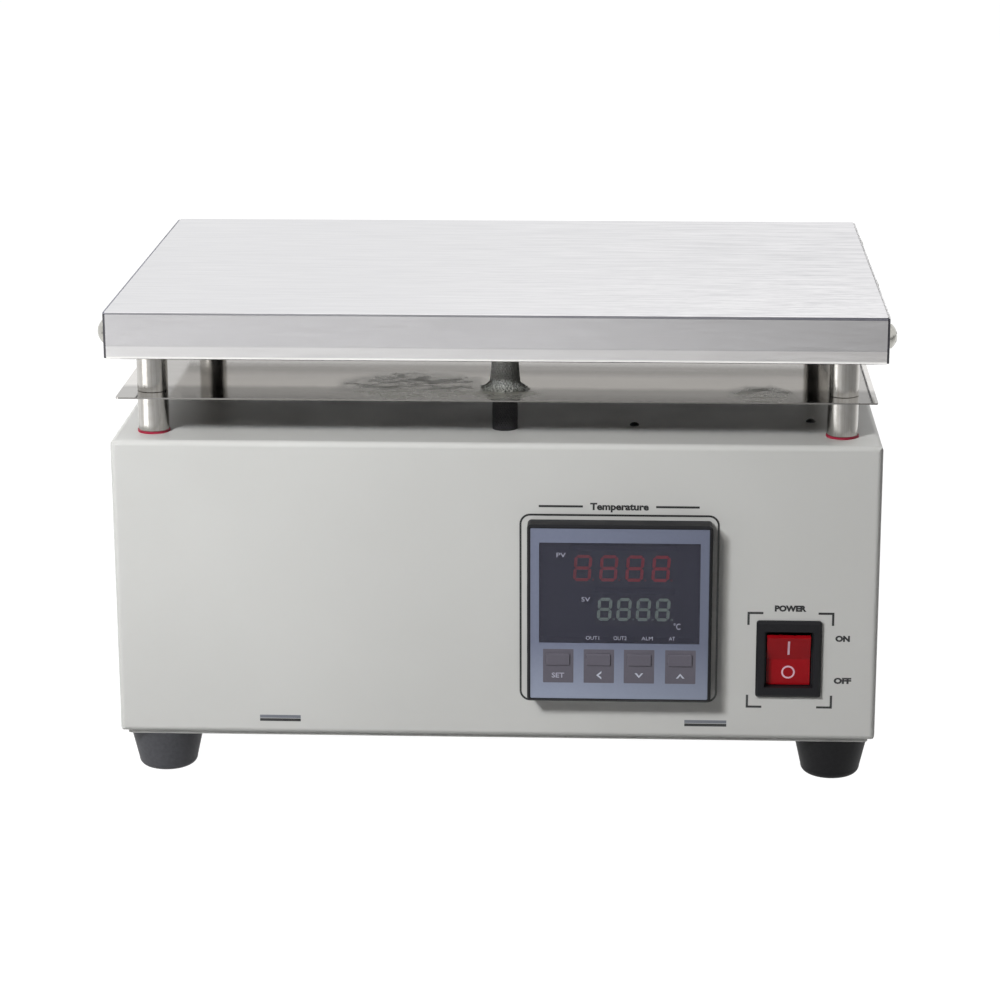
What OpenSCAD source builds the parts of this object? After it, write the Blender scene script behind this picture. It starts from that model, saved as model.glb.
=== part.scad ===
// Bench heating platform: a drilled aluminium plate on four insulated posts over a sheet steel case.
// Millimetres, +Z up. Origin: centre of the footprint, on the surface that the feet stand on.

/* [Case] */
// Width of the case
case_w = 300; // [280:1:340]
// Depth of the case
case_d = 200; // [190:1:240]
// Height of the case
case_h = 120; // [110:1:150]
// Thickness of the folded steel
sheet = 1.2; // [1:0.1:1.5]
// Outer radius of the folds
bend_r = 2.2; // [2:0.1:3]
// Width of the turned-in flange round the open bottom
flange_w = 11; // [10:0.5:12]

/* [Base and feet] */
// Thickness of the bottom plate
base_t = 1.5; // [1.5:0.1:2]
// Gap from the case's outside to the bottom plate's edge
base_inset = 2.5; // [2:0.1:4]
// Height of a rubber foot
foot_h = 17.5; // [14:0.5:20]
// Radius of a foot at its top
foot_top_r = 15.1; // [14:0.1:15.5]
// Radius of a foot just above its rounded lower edge
foot_low_r = 11.8; // [11:0.1:13]
// Distance of a foot's axis from the side of the case
foot_in_x = 16.3; // [16:0.1:24]
// Distance of a foot's axis from the front or back of the case
foot_in_y = 17; // [17:0.1:24]

/* [Heating plate] */
// Length of the heating plate between its end covers
plate_w = 300; // [280:1:320]
// Depth of the heating plate
plate_d = 200; // [190:1:220]
// Thickness of the heating plate
plate_t = 18.8; // [16:0.1:20]
// Thickness of an end cover
cover_t = 0.9; // [0.8:0.1:2]
// Diameter of a cartridge heater
heater_dia = 10; // [8:0.5:10]

/* [Posts and shield] */
// Outer diameter of a post sleeve
post_dia = 12; // [10:0.5:14]
// Distance of a post's axis from the plate's middle, along the width
post_x = 135; // [125:0.5:136]
// Distance of a post's axis from the front or back of the plate
post_in_y = 16.5; // [15:0.5:20]
// Length of the sleeve under the shield
lower_len = 15.2; // [12:0.1:30]
// Length of the sleeve over the shield
upper_len = 15.6; // [12:0.1:30]
// Thickness of the insulating washer under each post
washer_t = 0.8; // [0.8:0.1:2]
// Thickness of the heat shield
shield_t = 0.6; // [0.6:0.1:1.2]
// Gap from the case's outside to the shield's edge
shield_in = 2.5; // [2:0.5:5]

/* [Lead sleeve] */
// Place of the heater leads along the width, from the middle
lead_x = 3; // [-10:0.5:10]
// Distance of the heater leads from the front of the case
lead_y = 25; // [24:0.5:30]
// Outer diameter of the braided sleeve
braid_dia = 10.2; // [9:0.1:12]

/* [Temperature controller] */
// Side of the square bezel
meter_size = 72; // [72]
// Place of the controller's middle along the width
meter_x = 48.8; // [40:0.1:55]
// Height of the controller's middle over the surface
meter_z = 72.7; // [65:0.1:80]
// How far the bezel stands out from the case
bezel_out = 8; // [6:0.5:9]
// Travel of a key
key_travel = 0.5; // [0.3:0.1:0.6]

/* [Power switch] */
// Place of the switch's middle along the width
switch_x = 115.3; // [110:0.1:125]
// Height of the switch's middle over the surface
switch_z = 52.8; // [45:0.1:60]
// Swing of the rocker from off to on, in degrees
rocker_swing = 20; // [16:1:22]

/* [Mains inlet] */
// Place of the inlet's middle along the width
inlet_x = -95; // [-110:1:-60]
// Height of the inlet's middle over the surface
inlet_z = 63; // [50:1:80]

/* [Hidden] */
$fn = 48;
eps = 0.01;

// Length of a tool that cuts through sheet, and the play of what is pushed into a cut-out
cut = 4;
panel_play = 0.4;

// Levels from the surface up
base_z = foot_h;
case_z = base_z + base_t;
case_top = case_z + case_h;
shield_z = case_top + washer_t + lower_len;
upper_z = shield_z + shield_t;
plate_z = upper_z + upper_len;
plate_mid = plate_z + plate_t / 2;

// What stands out at the front and at the back decides where the middle of the footprint lies
face_in = 0.6;
film_t = 0.5;
face_y = -bezel_out + face_in - film_t;
pad_proud = 0.6;
inlet_flange_t = 3;
drawer_lip_t = 2;
front_out = pad_proud - face_y;
back_out = inlet_flange_t + drawer_lip_t;
front_y = -(case_d + back_out - front_out) / 2;

// Screw sizes, as radius of shank, radius of head and height of head
m2 = [1, 1.9, 1.2];
m3 = [1.5, 2.9, 2.1];
m3_flat = [1.5, 2.9, 1.4];
m3_low = [1.5, 2.9, 1.8];
m4 = [2, 3.6, 2.4];
m4_low = [2, 3.8, 1.8];
m5 = [2.5, 4.75, 3.5];

post_depths = [post_in_y, plate_d - post_in_y];
foot_x = case_w / 2 - foot_in_x;
foot_depths = [foot_in_y, case_d - foot_in_y];
end_screw_in = 9;
end_screw_depths = [end_screw_in, plate_d / 2, plate_d - end_screw_in];
top_screw_spots = [[54, 31], [124, 39]];
heater_depths = [52, 84, 116, 148];
base_screw_in = 7;
base_screw_spots = concat([for (x = [-100, 0, 100], y = [base_screw_in, case_d - base_screw_in]) [x, y]],
                          [for (x = [-1, 1]) [x * (case_w / 2 - base_screw_in), case_d / 2]]);

// Controller face, measured from its middle
face_size = meter_size - 2.6;
window_w = 62.6;
window_h = 40.8;
window_up = 8.55;
key_pitch = 15.95;
key_places = [-1.5, -0.5, 0.5, 1.5] * key_pitch;
pad_w = 9.6;
pad_h = 5;
pad_up = -18.6;
pad_gap = 0.25;
pv_up = 18.4;
sv_up = 1.7;
meter_body = 67.6;
meter_deep = 62;

// Switch, measured from its middle
sw_bezel_w = 25.6;
sw_bezel_h = 31.4;
sw_bezel_t = 2;
sw_well_w = 19.2;
sw_well_h = 23;
sw_wall = 1.2;
sw_body_w = sw_well_w + 2 * sw_wall;
sw_body_h = sw_well_h + 2 * sw_wall + 1.6;
rocker_w = 17;
pivot_y = 5.2;
pivot_r = 1.5;
pivot_play = 0.05;
rocker_mid = 4.06;
rocker_half = 10.3;
half_swing = rocker_swing / 2;

// Slots in the back: place of their middle, number, pitch, length and width
back_vents_x = -30;
back_vent_count = 9;
back_vent_pitch = 9;
back_vent = [34, 3];

// Parts inside the case
earth_x = -case_w / 2 + 25;
earth_z = case_z + 22;
relay_x = 76;
relay_y = 125;
relay_pitch = 23.9;
relay_row = 14;
base_vents_x = [-92, relay_x];
base_vent = [44, 3];
block_x = -50;
block_y = 50;
block_pitch = 16;
fixing_spots = concat([for (x = [-1, 1], y = [-1, 1]) [relay_x + x * relay_pitch, relay_y + y * relay_row]],
                      [for (x = [-1, 1]) [block_x + x * block_pitch, block_y]]);

// Inlet, measured from its middle
inlet_ear_x = 20;
inlet_ear_r = 5.5;
inlet_w = 27;
inlet_h = 32;
inlet_deep = 22;
socket_w = 24;
socket_h = 16.4;
socket_deep = 16.5;
socket_up = -6;
drawer_w = 22;
drawer_h = 8;
drawer_up = 10;
drawer_deep = 17;
drawer_play = 0.3;

// Moves what is drawn from the case's front, at y = 0, to its place over the footprint
module placed() translate([0, front_y, 0]) children();

// The children and their mirror image across the middle
module mirrored_x() {
    children();
    mirror([1, 0, 0]) children();
}

// A rectangle with round corners, centred
module round_rect(w, h, r) {
    square([w - 2 * r, h], center = true);
    square([w, h - 2 * r], center = true);
    for (x = [-1, 1], y = [-1, 1]) translate([x * (w / 2 - r), y * (h / 2 - r)]) circle(r);
}

// An outline of depth and height, pulled along the width
module along_x(length) rotate([90, 0, 90]) linear_extrude(length, center = true) children();

// An outline of width and height, pulled back from depth y
module along_y(y, length) {
    translate([0, y + length, 0]) rotate([90, 0, 0]) linear_extrude(length) children();
}

// An outline cut through the front wall or the back wall of the case
module front_cut() along_y(-1, cut) children();
module back_cut() along_y(case_d + 1 - cut, cut) children();

// A slab with round corners from depth front to depth back, its front rim bevelled all round
module bevelled_slab(w, h, r, front, back, bevel) {
    function side(size) = [[back, -size / 2], [front + bevel, -size / 2], [front, -size / 2 + bevel],
                           [front, size / 2 - bevel], [front + bevel, size / 2], [back, size / 2]];
    intersection() {
        along_y(front, back - front) round_rect(w, h, r);
        along_x(w) polygon(side(h));
        linear_extrude(h, center = true) polygon([for (p = side(w)) [p[1], p[0]]]);
    }
}

// A box rounded on all its edges, standing on z = 0 from depth 0 back
module soft_box(w, d, h, r) {
    intersection() {
        translate([0, d / 2, 0]) linear_extrude(h) round_rect(w, d, r);
        translate([0, d / 2, h / 2]) along_x(w) round_rect(d, h, r);
        translate([0, 0, h / 2]) along_y(0, d) round_rect(w, h, r);
    }
}

// A slot with round ends, centred, along the width of the outline
module slot_outline(length, width) {
    square([length - width, width], center = true);
    for (x = [-1, 1]) translate([x * (length - width) / 2, 0]) circle(width / 2);
}

// A cross recess that goes down from z = 0
module cross_recess(head_r, depth) {
    for (a = [0, 90]) rotate(a) translate([-head_r * 0.58, -head_r * 0.11, -depth])
        cube([head_r * 1.16, head_r * 0.22, depth + 1]);
}

// A pan head screw, head up, its head resting on z = 0
module pan_screw(size, length) {
    shank_r = size[0];
    head_r = size[1];
    head_h = size[2];
    dome_r = (head_r * head_r + head_h * head_h) / (2 * head_h);
    difference() {
        union() {
            translate([0, 0, -length]) cylinder(r = shank_r, h = length + eps);
            rotate_extrude() intersection() {
                square([head_r, head_h]);
                translate([0, head_h - dome_r * 1.25]) circle(dome_r * 1.25, $fn = 96);
            }
        }
        translate([0, 0, head_h]) cross_recess(head_r, head_h * 0.55);
    }
}

// A countersunk screw, head up, the flat of its head at z = 0
module flat_screw(size, length) {
    difference() {
        rotate_extrude()
            polygon([[0, 0], [size[1], 0], [size[0], -size[2]], [size[0], -length], [0, -length]]);
        cross_recess(size[1] * 0.85, size[2] * 0.7);
    }
}

// The hole for it, with some play, and its cone carried on over z = 0
module flat_hole(size, length, play = 0.1) {
    rotate_extrude() polygon([[0, 1], [size[1] + play + 1, 1], [size[0] + play, -size[2]],
                              [size[0] + play, -length], [0, -length]]);
}

// A hexagon nut on a round flange, standing on z = 0, for a shank of radius r
module flange_nut(r, h) {
    difference() {
        union() {
            cylinder(r = r * 1.85, h = h, $fn = 6);
            cylinder(r = r * 2.2, h = h * 0.25);
        }
        translate([0, 0, -1]) cylinder(r = r, h = h + 2);
    }
}

// Four copies at the post axes
module at_posts() for (x = [-post_x, post_x], y = post_depths) translate([x, y, 0]) children();

// Four copies at the foot axes
module at_feet() for (x = [-foot_x, foot_x], y = foot_depths) translate([x, y, 0]) children();

// Case

module case_walls() {
    difference() {
        soft_box(case_w, case_d, case_h, bend_r);
        translate([0, sheet, sheet])
            soft_box(case_w - 2 * sheet, case_d - 2 * sheet, case_h - 2 * sheet, bend_r - sheet);
        translate([0, case_d / 2, -1]) linear_extrude(sheet + 2)
            round_rect(case_w - 2 * flange_w, case_d - 2 * flange_w, 3);
    }
}

// A row of upright slots
module back_vents() {
    middle = (back_vent_count - 1) / 2;
    for (i = [0 : back_vent_count - 1]) translate([(i - middle) * back_vent_pitch, 0, 0])
        rotate([0, 90, 0]) back_cut() slot_outline(back_vent[0], back_vent[1]);
}

module case_shell() {
    color([0.80, 0.80, 0.76]) placed() difference() {
        translate([0, 0, case_z]) case_walls();
        translate([meter_x, 0, meter_z]) front_cut() square(meter_body + panel_play, center = true);
        translate([switch_x, 0, switch_z]) front_cut()
            square([sw_body_w + panel_play, sw_body_h + panel_play], center = true);
        translate([inlet_x, 0, inlet_z]) back_cut() {
            square([inlet_w + panel_play, inlet_h + panel_play], center = true);
            for (x = [-inlet_ear_x, inlet_ear_x]) translate([x, 0]) circle(m3[0]);
        }
        translate([back_vents_x, 0, case_z + case_h / 2]) back_vents();
        translate([earth_x, 0, earth_z]) back_cut() circle(m4[0]);
        translate([0, 0, case_top + 1 - cut]) {
            at_posts() cylinder(r = m5[0] + 0.3, h = cut);
            translate([lead_x, lead_y, 0]) cylinder(d = braid_dia, h = cut);
            for (p = top_screw_spots) translate(p) cylinder(r = m2[0], h = cut);
        }
        for (p = base_screw_spots) translate([p[0], p[1], case_z - 1]) cylinder(r = m3[0], h = cut);
    }
}

module bottom_plate() {
    color([0.72, 0.73, 0.72]) placed() difference() {
        translate([0, case_d / 2, base_z]) linear_extrude(base_t)
            round_rect(case_w - 2 * base_inset, case_d - 2 * base_inset, 2);
        for (p = base_screw_spots) translate([p[0], p[1], base_z]) rotate([180, 0, 0])
            flat_hole(m3_flat, cut);
        translate([0, 0, base_z - 1]) {
            at_feet() cylinder(r = m4[0] + 0.2, h = cut);
            for (x = base_vents_x, i = [-2 : 2]) translate([x + i * 8, relay_y, 0]) rotate(90)
                linear_extrude(cut) slot_outline(base_vent[0], base_vent[1]);
            for (p = fixing_spots) translate(p) cylinder(r = m3[0] + 0.1, h = cut);
        }
    }
}

module bottom_screws() {
    color([0.75, 0.75, 0.75]) placed() for (p = base_screw_spots)
        translate([p[0], p[1], base_z]) rotate([180, 0, 0]) flat_screw(m3_flat, base_t + sheet + 2);
}

// The screws that hold the heat sink and the terminal block, from below
module fixing_screws() {
    color([0.75, 0.75, 0.75]) placed() for (p = fixing_spots)
        translate([p[0], p[1], base_z]) rotate([180, 0, 0]) pan_screw(m3_low, base_t + 6);
}

// Feet

foot_edge_r = 3;
foot_well_r = 6.5;
foot_well_h = 10;

module foot(x, y) {
    color([0.13, 0.13, 0.14]) placed() translate([x, y, 0]) rotate_extrude($fn = 64) {
        polygon([[foot_well_r, 0], [foot_low_r - foot_edge_r, 0], [foot_low_r, foot_edge_r],
                 [foot_top_r, foot_h], [m4[0] + 0.2, foot_h], [m4[0] + 0.2, foot_well_h],
                 [foot_well_r, foot_well_h]]);
        intersection() {
            translate([foot_low_r - foot_edge_r, foot_edge_r]) circle(foot_edge_r);
            translate([foot_low_r - foot_edge_r, 0]) square(foot_edge_r);
        }
    }
}
module foot_front_left() foot(-foot_x, foot_depths[0]);
module foot_front_right() foot(foot_x, foot_depths[0]);
module foot_rear_left() foot(-foot_x, foot_depths[1]);
module foot_rear_right() foot(foot_x, foot_depths[1]);

foot_washer_t = 1;

module foot_washers() {
    color("silver") placed() at_feet() translate([0, 0, foot_well_h - foot_washer_t]) difference() {
        cylinder(r = foot_well_r - 0.3, h = foot_washer_t);
        translate([0, 0, -1]) cylinder(r = m4[0] + 0.2, h = foot_washer_t + 2);
    }
}

module foot_screws() {
    color("silver") placed() at_feet() translate([0, 0, foot_well_h - foot_washer_t])
        rotate([180, 0, 0]) pan_screw(m4, foot_h + base_t + 5 - foot_well_h + foot_washer_t);
}

module foot_nuts() {
    color("silver") placed() at_feet() translate([0, 0, case_z]) flange_nut(m4[0], 3.2);
}

// Posts and shield

module insulating_washers() {
    color([0.72, 0.10, 0.14]) placed() translate([0, 0, case_top]) at_posts() difference() {
        cylinder(r = post_dia / 2 + 0.4, h = washer_t);
        translate([0, 0, -1]) cylinder(r = m5[0] + 0.2, h = washer_t + 2);
    }
}

// A tube round a stud, its ends chamfered
module sleeve(length) {
    r = post_dia / 2;
    chamfer = 0.2;
    difference() {
        rotate_extrude($fn = 64)
            polygon([[0, 0], [r - chamfer, 0], [r, chamfer], [r, length - chamfer],
                     [r - chamfer, length], [0, length]]);
        translate([0, 0, -1]) cylinder(r = m5[0] + 0.2, h = length + 2);
    }
}

module lower_sleeves() {
    color([0.70, 0.70, 0.68]) placed() translate([0, 0, case_top + washer_t]) at_posts() sleeve(lower_len);
}

module upper_sleeves() {
    color([0.74, 0.74, 0.72]) placed() translate([0, 0, upper_z]) at_posts() sleeve(upper_len);
}

module heat_shield() {
    color([0.62, 0.61, 0.60]) placed() translate([0, 0, shield_z]) difference() {
        translate([0, case_d / 2, 0]) linear_extrude(shield_t)
            round_rect(case_w - 2 * shield_in, case_d - 2 * shield_in, 1.2);
        translate([0, 0, -1]) at_posts() cylinder(r = m5[0] + 0.2, h = shield_t + 2);
        translate([lead_x, lead_y, -1]) cylinder(d = braid_dia - 1, h = shield_t + 2);
    }
}

stud_in_plate = 10;
stud_below = 9;

module post_studs() {
    color("silver") placed() translate([0, 0, case_top - sheet - stud_below]) at_posts()
        cylinder(r = m5[0], h = plate_z + stud_in_plate - case_top + sheet + stud_below);
}

module post_nuts() {
    color("silver") placed() translate([0, 0, case_top - sheet]) at_posts()
        rotate([180, 0, 0]) flange_nut(m5[0], 4.5);
}

// Small dark screws in the case top, each with its nut
module at_top_screws() for (p = top_screw_spots) translate([p[0], p[1], case_top]) children();

module top_screws() {
    color([0.12, 0.12, 0.12]) placed() at_top_screws() pan_screw(m2, 6);
}

module top_nuts() {
    color("silver") placed() at_top_screws() translate([0, 0, -sheet]) rotate([180, 0, 0])
        flange_nut(m2[0], 1.8);
}

// Heating plate

pocket_deep = 5;
pocket_h = 8;
gallery_r = 3.5;
probe_r = 2;
probe_depth = 68;
probe_len = 120;

// Cross-section: a bevelled top edge, a groove under it, a fainter one lower down, a round lower edge
module plate_profile() {
    top_bevel = 0.3;
    edge_r = 1.2;
    line = [0.7, 0.6];
    line_down = 0.75;
    faint_line = [0.3, 0.25];
    faint_line_up = 5.6;
    difference() {
        union() {
            polygon([[0, edge_r], [plate_d, edge_r], [plate_d, plate_t - top_bevel],
                     [plate_d - top_bevel, plate_t], [top_bevel, plate_t], [0, plate_t - top_bevel]]);
            translate([edge_r, 0]) square([plate_d - 2 * edge_r, edge_r + eps]);
            for (y = [edge_r, plate_d - edge_r]) translate([y, edge_r]) circle(edge_r);
        }
        for (y = [0, plate_d]) {
            translate([y, plate_t - line_down]) square(line, center = true);
            translate([y, faint_line_up]) square(faint_line, center = true);
        }
    }
}

module heating_plate() {
    color([0.83, 0.83, 0.83]) placed() difference() {
        translate([0, 0, plate_z]) along_x(plate_w) plate_profile();
        for (y = heater_depths) translate([0, y, plate_mid]) rotate([0, 90, 0])
            cylinder(d = heater_dia, h = plate_w + 2, center = true);
        for (x = [-plate_w / 2, plate_w / 2], y = end_screw_depths) translate([x, y, plate_mid])
            rotate([0, 90, 0]) cylinder(r = m5[0], h = 24, center = true);
        difference() {
            translate([plate_w / 2 - pocket_deep, lead_y - gallery_r, plate_mid - pocket_h / 2])
                cube([pocket_deep + 1, heater_depths[3] + 8 - lead_y + gallery_r, pocket_h]);
            translate([plate_w / 2 - pocket_deep - 1, end_screw_depths[1], plate_mid]) rotate([0, 90, 0])
                cylinder(r = m5[0] + 3, h = pocket_deep + 3);
        }
        translate([lead_x - gallery_r, lead_y, plate_mid]) rotate([0, 90, 0])
            cylinder(r = gallery_r, h = plate_w / 2);
        translate([lead_x, lead_y, plate_z - 1]) cylinder(r = gallery_r + 0.5, h = plate_t / 2 + 1);
        translate([plate_w / 2 - probe_len - pocket_deep, probe_depth, plate_mid]) rotate([0, 90, 0])
            cylinder(r = probe_r, h = probe_len + pocket_deep);
        translate([0, 0, plate_z - 1]) at_posts() cylinder(r = m5[0], h = stud_in_plate + 1);
    }
}

module end_cover() {
    difference() {
        translate([plate_w / 2 + cover_t / 2, plate_d / 2, plate_mid]) along_x(cover_t)
            round_rect(plate_d - 0.6, plate_t - 0.6, 1);
        for (y = end_screw_depths) translate([plate_w / 2, y, plate_mid]) rotate([0, 90, 0])
            cylinder(r = m5[0] + 0.25, h = 10, center = true);
    }
}
module end_cover_left() color([0.20, 0.20, 0.22]) placed() mirror([1, 0, 0]) end_cover();
module end_cover_right() color([0.20, 0.20, 0.22]) placed() end_cover();

module end_cover_screws() {
    color([0.78, 0.78, 0.75]) placed() mirrored_x() for (y = end_screw_depths)
        translate([plate_w / 2 + cover_t, y, plate_mid]) rotate([0, 90, 0]) rotate(35 + y)
            pan_screw(m5, 10);
}

module heater_cartridges() {
    end_gap = 12;
    length = plate_w - end_gap - pocket_deep;
    color([0.55, 0.50, 0.46]) placed() for (y = heater_depths)
        translate([-plate_w / 2 + end_gap, y, plate_mid]) rotate([0, 90, 0]) {
            difference() {
                cylinder(d = heater_dia, h = length);
                translate([0, 0, length - 3]) cylinder(d = heater_dia - 2.4, h = 4);
            }
            for (s = [-1, 1]) translate([0, s * 1.8, length - 3 - eps]) cylinder(r = 1, h = 5);
        }
}

module thermocouple_probe() {
    color([0.65, 0.64, 0.60]) placed()
        translate([plate_w / 2 - probe_len - pocket_deep, probe_depth, plate_mid]) rotate([0, 90, 0]) {
            cylinder(r = probe_r, h = probe_len - 2);
            cylinder(r = probe_r * 0.6, h = probe_len + 3);
        }
}

// Leads and their braided sleeve

lead_r = 1.26;
lead_drop = 22;
lead_ring_r = 1.9;

module heater_leads() {
    color([0.85, 0.82, 0.74]) placed() translate([lead_x, lead_y, case_top - lead_drop])
        for (a = [45 : 90 : 315]) rotate(a) translate([lead_ring_r, 0, 0])
            cylinder(r = lead_r, h = plate_mid - case_top + lead_drop - 3);
}

braid_r = braid_dia / 2;
braid_wall = 1.6;
braid_steps = 24;
swell = 0.9;
skirt_out = 3;
skirt_h = 4.4;

// Falls smoothly from 1 to 0 as t goes from 0 to 1
function fall(t) = t >= 1 ? 0 : 1 - t * t * (3 - 2 * t);

// Radius of the sleeve at a height over the shield: it swells downwards and flares at its foot
function sleeve_radius(h) = braid_r + swell * pow(1 - h / upper_len, 2) + skirt_out * fall(h / skirt_h);

// The upper length, flared where its cut end spreads on the shield
module lead_sleeve_upper() {
    color([0.50, 0.50, 0.46]) placed() translate([lead_x, lead_y, upper_z]) rotate_extrude($fn = 64)
        polygon(concat([[braid_r - braid_wall, upper_len], [braid_r - braid_wall, 0]],
                       [for (i = [0 : braid_steps]) let (h = upper_len * i / braid_steps)
                        [sleeve_radius(h), h]]));
}

// The lower length, from inside the case up to the shield
module lead_sleeve_lower() {
    inside = 8;
    length = shield_z - case_top + inside;
    color([0.42, 0.42, 0.39]) placed() translate([lead_x, lead_y, case_top - inside]) difference() {
        cylinder(r = braid_r, h = length);
        translate([0, 0, -1]) cylinder(r = braid_r - braid_wall, h = length + 2);
    }
}

// Temperature controller

module at_meter() placed() translate([meter_x, 0, meter_z]) children();

module at_keys() for (x = key_places) translate([x, pad_up]) children();

module key_opening() round_rect(pad_w + 2 * pad_gap, pad_h + 2 * pad_gap, 1);

window_t = 1.2;

// A moulded frame with a well for the window and a guide for each key
module meter_bezel() {
    color([0.14, 0.14, 0.15]) at_meter() difference() {
        bevelled_slab(meter_size, meter_size, 1.6, -bezel_out, 0, 0.8);
        along_y(-bezel_out - 1, face_in + 1) square(face_size, center = true);
        along_y(-bezel_out - 1, bezel_out + 2) {
            translate([0, window_up]) square([window_w, window_h], center = true);
            at_keys() key_opening();
        }
        bezel_hollow();
    }
}

// The back of the bezel is moulded hollow round the key guides, with a rib between each two of them
module bezel_hollow() {
    rib = 1.6;
    front_t = 2.8;
    depth = bezel_out - face_in - front_t;
    low = 3 - meter_size / 2;
    high = window_up - window_h / 2 - rib;
    along_y(-depth, depth + 1) difference() {
        translate([0, (low + high) / 2]) square([meter_size - 6, high - low], center = true);
        at_keys() square([pad_w, pad_h] + 2 * [pad_gap + rib, pad_gap + rib], center = true);
        for (x = [-key_pitch, 0, key_pitch]) translate([x, 0]) square([rib, meter_size], center = true);
    }
}

// The printed film over the face, open at the window and at the keys
module meter_overlay() {
    color([0.43, 0.45, 0.52]) at_meter() along_y(face_y, film_t) difference() {
        round_rect(face_size, face_size, 0.6);
        translate([0, window_up]) square([window_w, window_h], center = true);
        at_keys() key_opening();
    }
}

module meter_window() {
    color([0.16, 0.17, 0.20]) at_meter() translate([0, 0, window_up]) along_y(face_y, window_t)
        square([window_w, window_h], center = true);
}

// Digits: size of one digit, pitch, place of the right end, half the width of a bar and the figures' lean
pv_digit = [6.9, 10.6];
sv_digit = [5.6, 9.3];
pv_pitch = 10.15;
sv_pitch = 7.55;
pv_right = 19.5;
sv_right = 19.7;
bar_half = 0.6;
digit_lean = tan(4);
seg_t = 0.2;
module_y = face_y + window_t;

function leaned(p, up) = [p[0] + (p[1] - up) * digit_lean, p[1]];

// A bar with pointed ends from a to b, leaned with its figure
module bar(a, b, half) {
    flat = a[1] == b[1];
    long = flat ? [1, 0] : [0, 1];
    wide = flat ? [0, 1] : [1, 0];
    polygon([for (p = [a, a + (long + wide) * half, b - (long - wide) * half, b, b - (long + wide) * half,
                       a + (long - wide) * half]) leaned(p, 0)]);
}

// One figure of seven bars and its point, centred
module figure(size, half) {
    w = size[0] / 2 - half;
    h = size[1] / 2 - half;
    gap = half * 0.2;
    for (z = [-h, 0, h]) bar([-w + gap, z], [w - gap, z], half);
    for (x = [-w, w]) {
        bar([x, gap], [x, h - gap], half);
        bar([x, -h + gap], [x, -gap], half);
    }
    translate(leaned([w + 2.6 * half, -h], 0)) circle(half * 0.8, $fn = 24);
}

module figures(size, pitch, right) {
    for (i = [0 : 3]) translate([right - size[0] / 2 - i * pitch, 0]) figure(size, bar_half);
}

module display_block(size, pitch, right, up) {
    span = 4 * pitch + 1;
    translate([right + pitch * 0.25 - span / 2, 0, up]) along_y(module_y + seg_t, -module_y - seg_t)
        square([span, size[1] + 3.6], center = true);
}

module pv_display() color([0.10, 0.10, 0.11]) at_meter() display_block(pv_digit, pv_pitch, pv_right, pv_up);
module sv_display() color([0.10, 0.10, 0.11]) at_meter() display_block(sv_digit, sv_pitch, sv_right, sv_up);

module digit_segments() {
    color([0.45, 0.13, 0.15]) at_meter() translate([0, 0, pv_up]) along_y(module_y, seg_t)
        figures(pv_digit, pv_pitch, pv_right);
    color([0.34, 0.42, 0.38]) at_meter() translate([0, 0, sv_up]) along_y(module_y, seg_t)
        figures(sv_digit, sv_pitch, sv_right);
}

// A raised pad, bevelled at its rim, with a stem that ends over the front board
module key(i) {
    color([0.40, 0.38, 0.38]) at_meter() translate([key_places[i], 0, pad_up])
        bevelled_slab(pad_w, pad_h, 0.9, face_y - pad_proud, -key_travel - 0.1, 0.35);
}
module key_set() key(0);
module key_shift() key(1);
module key_down() key(2);
module key_up() key(3);

meter_wall = 2;
board_t = 1.6;

module meter_housing() {
    inner = meter_body - 2 * meter_wall;
    color([0.15, 0.15, 0.16]) at_meter() difference() {
        along_y(0, meter_deep) round_rect(meter_body, meter_body, 1);
        along_y(-1, meter_deep + 1 - meter_wall) square(inner, center = true);
        along_y(meter_deep - 4, 5) square([46, 8], center = true);
        for (i = [-3 : 3]) translate([i * 7, meter_deep * 0.6, 0]) rotate(90)
            linear_extrude(meter_size, center = true) slot_outline(26, 2.4);
    }
}

module meter_front_board() {
    color([0.10, 0.32, 0.18]) at_meter() along_y(0, board_t)
        square(meter_body - 2 * meter_wall - 0.4, center = true);
}

// The main board stands on edge, with two block-shaped parts on one face and two capacitors on the other
module meter_main_board() {
    board_x = 14;
    h = meter_body - 2 * meter_wall - 0.4;
    transformer = [17, 24, 22];
    supply = [16, 28, 20];
    color([0.10, 0.32, 0.18]) at_meter() {
        translate([board_x, board_t + 0.2, -h / 2])
            cube([board_t, meter_deep - meter_wall - board_t - 0.4, h]);
        translate([board_x - transformer[0], 14, 2]) cube(transformer);
        translate([board_x - supply[0], 16, -24]) cube(supply);
        for (z = [-14, -2]) translate([board_x + board_t, 34, z]) rotate([0, 90, 0])
            cylinder(d = 10, h = 13);
    }
}

terminal_t = 9;
terminal_floor = 3;
terminal_pitch = 8.2;

module at_terminals() for (x = [-22, 22], i = [-3 : 3]) translate([x, 0, i * terminal_pitch]) children();

module meter_terminals() {
    color([0.12, 0.12, 0.13]) at_meter() difference() {
        along_y(meter_deep, terminal_t) for (x = [-22, 22]) translate([x, 0])
            square([18, 60], center = true);
        at_terminals() along_y(meter_deep + terminal_floor, terminal_t) square([13, 6.6], center = true);
    }
}

module meter_terminal_screws() {
    color([0.80, 0.78, 0.70]) at_meter() at_terminals()
        translate([0, meter_deep + terminal_floor, 0]) rotate([-90, 0, 0]) difference() {
            cylinder(r = 2.8, h = 2.2);
            translate([-4, -0.4, 1.3]) cube([8, 0.8, 2]);
        }
}

clamp_size = [7, 34, 16];
clamp_y = 8;
clamp_screw_x = meter_body / 2 + 3.8;

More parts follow.
